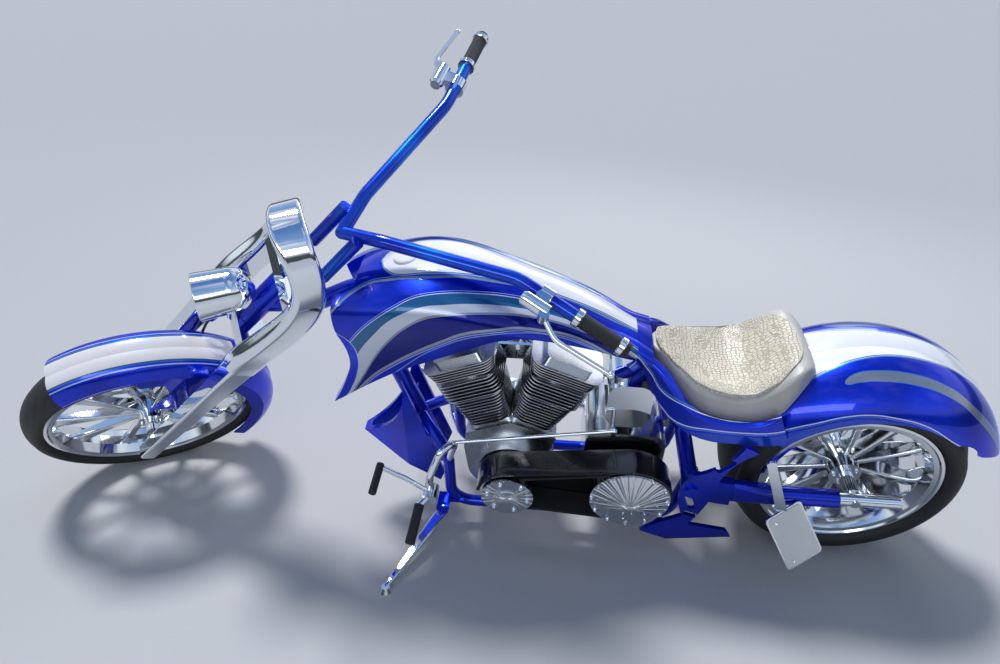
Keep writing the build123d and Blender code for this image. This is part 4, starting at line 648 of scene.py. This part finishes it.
def make_materials():
    """Every finish once, by name."""
    MATS.update({
        "tank_lacquer": striped_paint(
            "candy_lacquer_tank", TANK_CURVES, TANK_STRIPES, TANK_PANEL, (630.0, 1290.0), TANK_NOSE),
        "tail_lacquer": striped_paint(
            "candy_lacquer_tail", TAIL_CURVES, TAIL_STRIPES, TAIL_PANEL, (-600.0, 236.0)),
        "fender_lacquer": fender_paint("candy_lacquer_fender"),
        "plain_lacquer": plain_paint("candy_lacquer_plain"),
        # painted highlight: the handlebar's lighter azure base stands in for the cyan sheen along the tops of
        # its tubes
        "bar_lacquer_painted_highlight": plain_paint("candy_azure_painted_highlight", "#1266E0"),
        "chrome": chrome_plate("show_chrome"),
        "billet": chrome_plate("chromed_billet", "#E4E7EA", 0.07),
        "polished_alloy": cast_aluminium("polished_aluminium", "#D2D4D7", 0.17, 1.4),
        "cast_alloy": cast_aluminium("cast_aluminium", "#CDD0D3", 0.27, 1.0),
        "front_rubber": tyre_rubber("front_tyre_rubber", STEERED, FRONT_AXLE, 59.0, FRONT_TYRE_R),
        "rear_rubber": tyre_rubber("rear_tyre_rubber", UPRIGHT, REAR_AXLE, 147.0, REAR_TYRE_R),
        "front_disc": brake_steel("front_disc_steel", STEERED, FRONT_AXLE),
        "rear_disc": brake_steel("rear_pulley_steel", UPRIGHT, REAR_AXLE),
        "clutch_cover": spun_cover("spun_clutch_cover", CLUTCH),
        "pulley_cover": spun_cover("spun_pulley_cover", CRANK),
        "grip_rubber": black_rubber("ribbed_grip_rubber", 3.2),
        "peg_rubber": black_rubber("ribbed_peg_rubber", 7.0),
        "belt_rubber": black_rubber("drive_belt_rubber", 8.0),
        "hose_rubber": black_rubber("braided_hose", 2.0),
        "black_gloss": black_gloss("black_powder_coat"),
        "lens": lamp_glass("fluted_lamp_glass"),
        "hide": scaled_hide("cream_scaled_hide"),
        "pearl": pearl_leather("silver_pearl_leather"),
        "plate_white": enamel("white_plate_enamel", "#DCDDDB"),
        # near black inside the pipes: real soot and painted shade of the pipes' depth
        "dark_bore": enamel("soot_and_painted_shade_bore", "#0A0A0B", 0.8),
    })


NODE_FINISH = {
    "tank": "tank_lacquer", "tail_body": "tail_lacquer", "front_fender": "fender_lacquer",
    "chin_panel": "plain_lacquer", "handlebar": "bar_lacquer_painted_highlight", "fork_sliders": "plain_lacquer",
    "frame_backbone": "plain_lacquer", "frame_downtube": "plain_lacquer", "frame_rails": "plain_lacquer",
    "frame_plates": "plain_lacquer", "frame_cross_tubes": "plain_lacquer", "swingarm": "plain_lacquer",
    "fork_legs": "chrome", "fork_arch": "chrome", "fork_trees": "chrome", "headlight": "chrome",
    "hand_controls": "chrome", "axle_carriers": "chrome", "front_axle": "chrome", "rear_axle": "chrome",
    "front_caliper": "chrome", "rear_caliper": "chrome", "exhaust_pipes": "chrome", "oil_tank": "chrome",
    "side_stand": "chrome", "foot_controls": "chrome", "shift_rod": "chrome", "plate_holder": "chrome",
    "air_cleaner": "chrome", "pushrod_tubes": "chrome", "clutch": "clutch_cover",
    "primary_pulley": "pulley_cover", "gearbox": "polished_alloy", "rocker_boxes": "polished_alloy",
    "cylinders": "polished_alloy", "crankcase": "cast_alloy", "motor_plate": "black_gloss",
    "belt_guard": "black_gloss", "front_wheel_rim": "billet", "rear_wheel_rim": "billet",
    "front_disc": "front_disc", "rear_pulley": "rear_disc", "front_tyre": "front_rubber",
    "rear_tyre": "rear_rubber", "grips": "grip_rubber", "foot_pegs": "peg_rubber",
    "primary_belt": "belt_rubber", "final_belt": "belt_rubber", "headlight_lens": "lens",
    "seat_cushion": "hide", "seat_base": "pearl", "front_brake_hose": "hose_rubber",
}

# Saddle: its sections in the machine's frame
SADDLE = [
    # x, half width, bottom at the edge, top at the centre line, rise to the side, millimetres
    (588.0, 36.0, 690.0, 736.0, 1.0), (555.0, 64.0, 640.0, 714.0, 3.0), (520.0, 92.0, 594.0, 692.0, 6.0),
    (470.0, 122.0, 574.0, 664.0, 14.0), (430.0, 138.0, 563.0, 652.0, 20.0),
    (380.0, 147.0, 560.0, 645.0, 24.0), (330.0, 151.0, 560.0, 657.0, 22.0),
    (285.0, 152.0, 572.0, 697.0, 16.0), (250.0, 153.0, 610.0, 730.0, 10.0),
    (226.0, 154.0, 645.0, 743.0, 7.0), (200.0, 153.0, 668.0, 743.0, 6.0),
    (182.0, 151.0, 680.0, 733.0, 4.0), (168.0, 146.0, 688.0, 716.0, 0.0)]
INSERT_INSET = 0.92         # the cream insert's share of the saddle's width
INSERT_GAP = (44.0, 12.0)   # and its distance from the saddle's rear and front ends
PIPING_R = 100.0            # the piping's ring before it is laid round the insert


def along_saddle(x):
    """The saddle's section at x, from the table."""
    for a, b in zip(SADDLE, SADDLE[1:]):
        if a[0] >= x >= b[0]:
            f = (a[0] - x) / (a[0] - b[0])
            f = f * f * (3 - 2 * f) * 0.5 + f * 0.5
            return [p + (q - p) * f for p, q in zip(a[1:], b[1:])]
    return SADDLE[0][1:] if x > SADDLE[0][0] else SADDLE[-1][1:]


def pinch(v, power):
    """Squares a round section's coordinate towards the edge."""
    return (1 if v > 0 else -1) * abs(v) ** power


def saddle_place(u, w, inset, gap):
    """Where a point of the plan, from -1 to 1 each way, lies on the saddle's top; rear corners are round."""
    x0, x1 = SADDLE[-1][0] + gap[0], SADDLE[0][0] - gap[1]
    pull, narrow = (0.20, 0.28) if u < 0 else (0.05, 0.15)
    x = (x0 + x1) / 2 + (x1 - x0) / 2 * u * (1 - pull * abs(w) ** 4)
    half, bottom, top, rise = along_saddle(x)
    y = w * half * inset * (1 - narrow * abs(u) ** 6)
    across = y / half
    crest = top + rise * across * across - rise * 0.4
    # hand-stuffed, so it isn't quite even
    crest += noise.noise(Vector((x * 0.018, y * 0.022, 3.0))) * 2.0
    return x, y, bottom, crest


def cushion(name, fineness, inset, gap, thick, lift, roll, swell=0.0):
    """A stuffed closed pillow on the saddle's top: a block whose skin is drawn onto the sections."""
    clear_selection()
    bpy.ops.mesh.primitive_cube_add(size=2.0)
    pad = bpy.context.object
    bpy.ops.object.mode_set(mode="EDIT")
    bpy.ops.mesh.select_all(action="SELECT")
    bpy.ops.mesh.subdivide(number_cuts=fineness)
    bpy.ops.object.mode_set(mode="OBJECT")
    for v in pad.data.vertices:
        u, w, h = v.co
        x, y, bottom, crest = saddle_place(u, w, inset, gap)
        edge = max(abs(w), abs(u))
        droop = 1 - sqrt(max(0.0, 1 - edge ** 8))
        floor = crest - thick if thick else bottom
        ceiling = crest + lift - roll * droop
        y *= 1 + swell * (1 - h * h)
        v.co = Vector((x, y, floor + (ceiling - floor) * (h + 1) / 2))
    apply_modifier(pad, "SUBSURF", levels=1, render_levels=1)
    pad.name = name
    return pad


class SaddleSettings(bpy.types.PropertyGroup):
    fineness: bpy.props.IntProperty(
        name="Fineness", description="Cuts along each edge of the cushion's block", default=26, min=8, max=60)
    fill: bpy.props.FloatProperty(
        name="Fill", description="How tightly the cushion is stuffed", default=0.75, min=0, max=1,
        subtype="FACTOR")
    piping: bpy.props.FloatProperty(
        name="Piping", description="Radius of the bead round the seat insert", default=0.0024, unit="LENGTH")


class StageSettings(bpy.types.PropertyGroup):
    floor: bpy.props.FloatVectorProperty(
        name="Floor", description="Colour of the floor", default=(0.44, 0.445, 0.455), size=3,
        subtype="COLOR")
    floor_size: bpy.props.FloatProperty(
        name="Floor size", description="Side of the square floor", default=400.0, unit="LENGTH")
    sun: bpy.props.FloatProperty(name="Key lamp", description="Strength of the key lamp", default=3.0)
    fill_light: bpy.props.FloatProperty(
        name="Fill", description="Strength of the surrounding light", default=0.66)


class TrimSettings(bpy.types.PropertyGroup):
    bolt: bpy.props.FloatProperty(
        name="Bolt head", description="Width of the chrome cap screws", default=0.012, unit="LENGTH")
    plate: bpy.props.FloatVectorProperty(
        name="Plate", description="Length and height of the blank plate", default=(0.178, 0.102), size=2,
        unit="LENGTH")


class MOTO_OT_finishes(bpy.types.Operator):
    """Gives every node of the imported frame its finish"""
    bl_idname = "moto.finishes"
    bl_label = "Finish the frame"

    def execute(self, context):
        make_materials()
        for name, obj in NODES.items():
            finish = MATS[NODE_FINISH[name]]
            if not obj.material_slots:
                obj.data.materials.append(finish)
            for s in obj.material_slots:
                s.link = "OBJECT"
                s.material = finish
        return {"FINISHED"}


class MOTO_OT_saddle(bpy.types.Operator):
    """Models the saddle's stuffed body, its seat insert and the piping round it"""
    bl_idname = "moto.saddle"
    bl_label = "Build the saddle"

    def execute(self, context):
        settings = context.scene.moto_saddle
        body = cushion("saddle_body", settings.fineness, 1.0, (0.0, 0.0), None, -2.0, 24.0, 0.025)
        own(body, "saddle_body", MATS["pearl"], "frame")
        smooth(body, 60)
        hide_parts("seat_cushion", "seat_base")
        insert = cushion("seat_insert", settings.fineness, INSERT_INSET, INSERT_GAP, 12.0, 4.0, 4.0)
        own(insert, "seat_insert", MATS["hide"], "frame")
        smooth(insert, 60)

        # piping round the insert
        clear_selection()
        bpy.ops.mesh.primitive_torus_add(
            major_segments=120, minor_segments=8, major_radius=PIPING_R, minor_radius=settings.piping / MM)
        piping = context.object
        for v in piping.data.vertices:
            a = atan2(v.co.y, v.co.x)
            out = sqrt(v.co.x ** 2 + v.co.y ** 2) - PIPING_R
            u, w = pinch(cos(a), 0.45), pinch(sin(a), 0.45)
            x, y, _, crest = saddle_place(u, w, INSERT_INSET, INSERT_GAP)
            v.co = Vector((x + out * cos(a), y + out * sin(a), crest - 1.0 + v.co.z))
        own(piping, "saddle_piping", MATS["pearl"], "frame")
        smooth(piping, 60)
        return {"FINISHED"}


class MOTO_OT_plate(bpy.types.Operator):
    """Models the blank number plate on its holder"""
    bl_idname = "moto.plate"
    bl_label = "Build the blank plate"

    def execute(self, context):
        length, tall = (v / MM for v in context.scene.moto_trim.plate)
        up = (PLATE_TOP - PLATE_LOW).normalized()
        out = (PLATE_FACES - up * up.dot(PLATE_FACES)).normalized()
        side = out.cross(up)
        at = Matrix((up, side, out)).transposed().to_4x4()
        at.translation = (PLATE_TOP + PLATE_LOW) / 2 + out * 6.2
        clear_selection()
        bpy.ops.mesh.primitive_cube_add(size=1.0)
        sheet = context.object
        sheet.scale = (length, tall, 1.6)
        bpy.ops.object.transform_apply(scale=True)
        round_corners(sheet, 12.0, 5)
        # a raised rim
        pick_faces(sheet, (0, 0, 1))
        bpy.ops.mesh.inset(thickness=3.0)
        step_face(1.5, -0.7, "GLOBAL")
        bpy.ops.object.mode_set(mode="OBJECT")
        sheet.matrix_world = at
        own(sheet, "blank_plate", MATS["plate_white"], "frame")
        smooth(sheet)
        bolts = [hex_bolt(at @ Vector((u * length, 0.32 * tall, 0.8)), out, 9.0, 3.0) for u in (-0.40, 0.40)]
        own(join(bolts, "plate_bolts"), "plate_bolts", MATS["chrome"], "frame")
        return {"FINISHED"}


class MOTO_OT_fasteners(bpy.types.Operator):
    """Models the cap screws of the engine, the primary drive and the wheels"""
    bl_idname = "moto.fasteners"
    bl_label = "Fit the fasteners"

    def execute(self, context):
        size = context.scene.moto_trim.bolt / MM
        for name, body, centre, radius, count, start, share in BOLT_RINGS:
            way = Vector((0, 1 if centre[1] > 0 else -1, 0))
            wide = size * share
            made = []
            for k in range(count):
                a = radians(start + 360 * k / count)
                at = Vector(centre) + Vector((radius * cos(a), 0, radius * sin(a)))
                made.append(hex_bolt(at, way, wide, wide * 0.45))
            own(join(made, name), name, MATS["chrome"], body)
        return {"FINISHED"}


class MOTO_OT_head_fins(bpy.types.Operator):
    """Models the thin cooling fins of both cylinder heads, below and round the rocker boxes"""
    bl_idname = "moto.head_fins"
    bl_label = "Fin the cylinder heads"

    def execute(self, context):
        for name, way in (("front_head_fins", 1), ("rear_head_fins", -1)):
            lean = Matrix.Rotation(radians(CYLINDER_LEAN) * way, 4, "Y")
            clear_selection()
            bpy.ops.mesh.primitive_cube_add(size=1.0)
            fin = context.object
            fin.scale = HEAD_FIN_SIZE
            bpy.ops.object.transform_apply(scale=True)
            round_corners(fin, 34.0, 6)
            bpy.ops.object.mode_set(mode="OBJECT")
            fins = []
            for k in range(HEAD_FINS):
                copy = fin.copy()
                copy.data = fin.data.copy()
                context.scene.collection.objects.link(copy)
                height = Matrix.Translation((0, 0, HEAD_FIN_FOOT + HEAD_FIN_PITCH * k))
                wider = Matrix.Diagonal((1 + 0.035 * k, 1.0, 1.0, 1.0))
                copy.matrix_world = Matrix.Translation(CRANK) @ lean @ height @ wider
                fins.append(copy)
            bpy.data.objects.remove(fin)
            own(join(fins, name), name, MATS["polished_alloy"], "frame")
        return {"FINISHED"}


class MOTO_OT_pipes(bpy.types.Operator):
    """Models the open ends of the two exhaust pipes"""
    bl_idname = "moto.pipes"
    bl_label = "Open the exhaust ends"

    def execute(self, context):
        backwards = (0, radians(-90), 0)
        for name, end in PIPE_ENDS.items():
            tip = round_bar(40, 24.0, 34.0, end - Vector((3, 0, 0)), backwards)
            pick_faces(tip, (0, 0, 1))
            bpy.ops.mesh.inset(thickness=2.4)
            extrude_by(-17.0)
            bpy.ops.object.mode_set(mode="OBJECT")
            smooth(tip)
            own(tip, name, MATS["chrome"], "frame")
            # a near-black disc shuts each pipe a little way in: real soot, and painted shade standing in for
            # the pipe's dark depth
            bore = round_bar(40, 21.4, 1.5, end - Vector((4, 0, 0)), backwards)
            pick_faces(bore, (0, 0, 1))
            bpy.ops.mesh.inset(thickness=7.0)
            bpy.ops.transform.translate(value=(0.4, 0, 0))
            bpy.ops.object.mode_set(mode="OBJECT")
            own(bore, name + "_bore", MATS["dark_bore"], "frame")
        return {"FINISHED"}


class MOTO_OT_lamp(bpy.types.Operator):
    """Models the lamp's bezel"""
    bl_idname = "moto.lamp"
    bl_label = "Trim the headlight"

    def execute(self, context):
        at = Matrix.Translation(LAMP) @ Matrix.Rotation(radians(LAMP_TURN), 4, "Y")
        clear_selection()
        bpy.ops.mesh.primitive_torus_add(
            major_segments=64, minor_segments=12, major_radius=59.5, minor_radius=3.2,
            location=at @ Vector((66, 0, 0)),
            rotation=(at.to_3x3() @ Matrix.Rotation(radians(90), 3, "Y")).to_euler())
        bezel = context.object
        smooth(bezel)
        own(bezel, "lamp_bezel", MATS["chrome"], "steering")
        return {"FINISHED"}


class MOTO_OT_collars(bpy.types.Operator):
    """Models the ribbed chrome collars at both ends of each grip"""
    bl_idname = "moto.collars"
    bl_label = "Fit the grip collars"

    def execute(self, context):
        made = []
        for side in (1, -1):
            end, bend = (Vector((x, side * y, z)) for x, y, z in (BAR_END, BAR_BEND))
            way = (end - bend).normalized()
            for back, long in ((GRIP_LONG + 1.0, 14.0), (9.0, 12.0)):
                collar = round_bar(32, GRIP_R + 4.6, long, end - way * back, aim(way))
                pick_faces(collar, (0, 0, 1))
                step_face(2.5, 2.0)
                pick_faces(collar, (0, 0, -1))
                step_face(2.5, -2.0, "LOCAL")
                bpy.ops.object.mode_set(mode="OBJECT")
                smooth(collar, 30)
                made.append(collar)
        own(join(made, "grip_collars"), "grip_collars", MATS["chrome"], "steering")
        return {"FINISHED"}


class MOTO_OT_cap(bpy.types.Operator):
    """Models the flush filler cap on the tank"""
    bl_idname = "moto.cap"
    bl_label = "Fit the filler cap"

    def execute(self, context):
        cap = round_bar(48, 31.0, 5.0, FILLER, (0, radians(3.0), 0))
        pick_faces(cap, (0, 0, 1))
        for inset, rise in ((1.5, 0.8), (1.6, -0.9), (1.2, 0.9)):
            step_face(inset, rise)
        bpy.ops.object.mode_set(mode="OBJECT")
        smooth(cap, 25)
        own(cap, "filler_cap", MATS["plate_white"], "frame")
        return {"FINISHED"}


class MOTO_OT_stage(bpy.types.Operator):
    """Lays the floor and sets the light and the camera"""
    bl_idname = "moto.stage"
    bl_label = "Set the stage"

    def execute(self, context):
        settings = context.scene.moto_stage
        self.lay_floor(settings)
        context.scene.view_settings.view_transform = "Standard"
        self.paint_sky(context.scene, settings)
        self.hang_lamps(context.scene, settings)
        self.place_camera(context.scene)
        return {"FINISHED"}

    def lay_floor(self, settings):
        clear_selection()
        bpy.ops.mesh.primitive_plane_add(size=settings.floor_size)
        floor = bpy.context.object
        floor.name = "studio_floor"
        mat, tree, shader = new_material("matt_studio_floor")
        place = put(tree, "TexCoord", out="Object")
        grain = put(tree, "TexNoise", {"Vector": place, "Scale": 260.0, "Detail": 2.0})
        pale = tuple(settings.floor) + (1.0,)
        deeper = tuple(c * 0.93 for c in settings.floor) + (1.0,)
        colour = put(tree, "Mix", {0: grain, 6: deeper, 7: pale}, out=2, data_type="RGBA")
        set_shader(shader, Base_Color=colour, Roughness=0.9)
        floor.data.materials.append(mat)

    def paint_sky(self, scene, settings):
        world = bpy.data.worlds.new("soft_sky")
        scene.world = world
        world.use_nodes = True
        tree = world.node_tree
        tree.nodes.clear()
        around = put(tree, "TexCoord", out="Generated")
        height = axes_of(tree, around)[2]
        ramp = put(tree, "ValToRGB", (height,), out=None)
        for k, (at, colour) in enumerate(SKY):
            stop = ramp.color_ramp.elements[k] if k < 2 else ramp.color_ramp.elements.new(at)
            stop.position = at
            stop.color = linear(colour)
        # clouds, so that chrome turned to the sky isn't one flat tone
        puffs = put(tree, "TexNoise", {"Vector": around, "Scale": 2.6, "Detail": 5.0, "Roughness": 0.55})
        cloud = put(tree, "MapRange", {"Value": puffs, "From Min": 0.48, "From Max": 0.68})
        above = put(tree, "MapRange", {"Value": height, "From Min": 0.2, "From Max": 0.4})
        mask = put(tree, "Math", (cloud, above), operation="MULTIPLY")
        sky = put(tree, "Mix", {0: mask, 6: ramp.outputs[0], 7: linear("#F4F6FA")}, out=2, data_type="RGBA")
        lit = put(tree, "Background", {"Color": sky, "Strength": settings.fill_light})
        mirrored = put(tree, "Background", {"Color": sky, "Strength": 1.1})
        wall = put(tree, "Background", {"Color": linear("#C6CAD1"), "Strength": 1.0})
        path = put(tree, "LightPath", out=None).outputs
        rays = (path["Is Glossy Ray"], path["Is Transmission Ray"])
        in_mirror = put(tree, "Math", rays, operation="MAXIMUM")
        both = put(tree, "MixShader", (in_mirror, lit, mirrored))
        # beyond the floor the camera sees a plain pale wall
        seen = put(tree, "MixShader", (path["Is Camera Ray"], both, wall))
        put(tree, "OutputWorld", {"Surface": seen}, out=None)

    def hang_lamps(self, scene, settings):
        key = bpy.data.lights.new("key", "SUN")
        key.energy, key.angle = settings.sun, radians(14)
        lamp = bpy.data.objects.new("key", key)
        lamp.rotation_euler = aim((0.25, -0.35, 1.0))
        scene.collection.objects.link(lamp)
        for name, place, size, power in STRIP_LAMPS:
            data = bpy.data.lights.new(name, "AREA")
            data.shape, data.size, data.size_y, data.energy = "RECTANGLE", size[0], size[1], power
            lamp = bpy.data.objects.new(name, data)
            lamp.location = place
            lamp.rotation_euler = aim(Vector(place) - Vector((0, 0, 0.5)))
            scene.collection.objects.link(lamp)

    def place_camera(self, scene):
        """The photograph's viewing angle, fitted to the wheels."""
        spin = Matrix.Rotation(CAMERA_HEADING, 3, "Z")
        right, ahead, down = spin @ Vector((-1, 0, 0)), spin @ Vector((0, -1, 0)), Vector((0, 0, -1))
        look = ahead * cos(CAMERA_TILT) + down * sin(CAMERA_TILT)
        below = down * cos(CAMERA_TILT) - ahead * sin(CAMERA_TILT)
        x_axis = right * cos(CAMERA_ROLL) + below * sin(CAMERA_ROLL)
        y_down = below * cos(CAMERA_ROLL) - right * sin(CAMERA_ROLL)
        data = bpy.data.cameras.new("camera")
        data.sensor_fit, data.sensor_width, data.lens = "HORIZONTAL", SENSOR, CAMERA_FOCUS * SENSOR
        camera = bpy.data.objects.new("camera", data)
        turn = Matrix((x_axis, -y_down, -look)).transposed().to_4x4()
        turn.translation = (CAMERA_PLACE + Vector((AT_REST.x, AT_REST.y, 0))) * MM
        camera.matrix_world = turn
        scene.collection.objects.link(camera)
        scene.camera = camera


class MOTO_PT_panel(bpy.types.Panel):
    bl_label = "Motorcycle"
    bl_idname = "MOTO_PT_panel"
    bl_space_type = "VIEW_3D"
    bl_region_type = "UI"
    bl_category = "Motorcycle"

    def draw(self, context):
        scene = context.scene
        for group in (scene.moto_saddle, scene.moto_trim, scene.moto_stage):
            box = self.layout.box()
            for name in group.__annotations__:
                box.prop(group, name)
        for op in OPERATORS:
            self.layout.operator(op.bl_idname)


OPERATORS = (MOTO_OT_finishes, MOTO_OT_saddle, MOTO_OT_plate, MOTO_OT_fasteners, MOTO_OT_head_fins,
             MOTO_OT_pipes, MOTO_OT_lamp, MOTO_OT_collars, MOTO_OT_cap, MOTO_OT_stage)
GROUPS = {"moto_saddle": SaddleSettings, "moto_stage": StageSettings, "moto_trim": TrimSettings}


def register():
    for c in (*GROUPS.values(), *OPERATORS, MOTO_PT_panel):
        bpy.utils.register_class(c)
    for name, group in GROUPS.items():
        setattr(bpy.types.Scene, name, bpy.props.PointerProperty(type=group))


def unregister():
    for name in GROUPS:
        delattr(bpy.types.Scene, name)
    for c in reversed((*GROUPS.values(), *OPERATORS, MOTO_PT_panel)):
        bpy.utils.unregister_class(c)


def main():
    register()
    bpy.ops.moto.finishes()
    bpy.ops.moto.saddle()
    bpy.ops.moto.plate()
    bpy.ops.moto.fasteners()
    bpy.ops.moto.head_fins()
    bpy.ops.moto.pipes()
    bpy.ops.moto.lamp()
    bpy.ops.moto.collars()
    bpy.ops.moto.cap()
    bpy.ops.moto.stage()


if __name__ == "__main__":
    main()
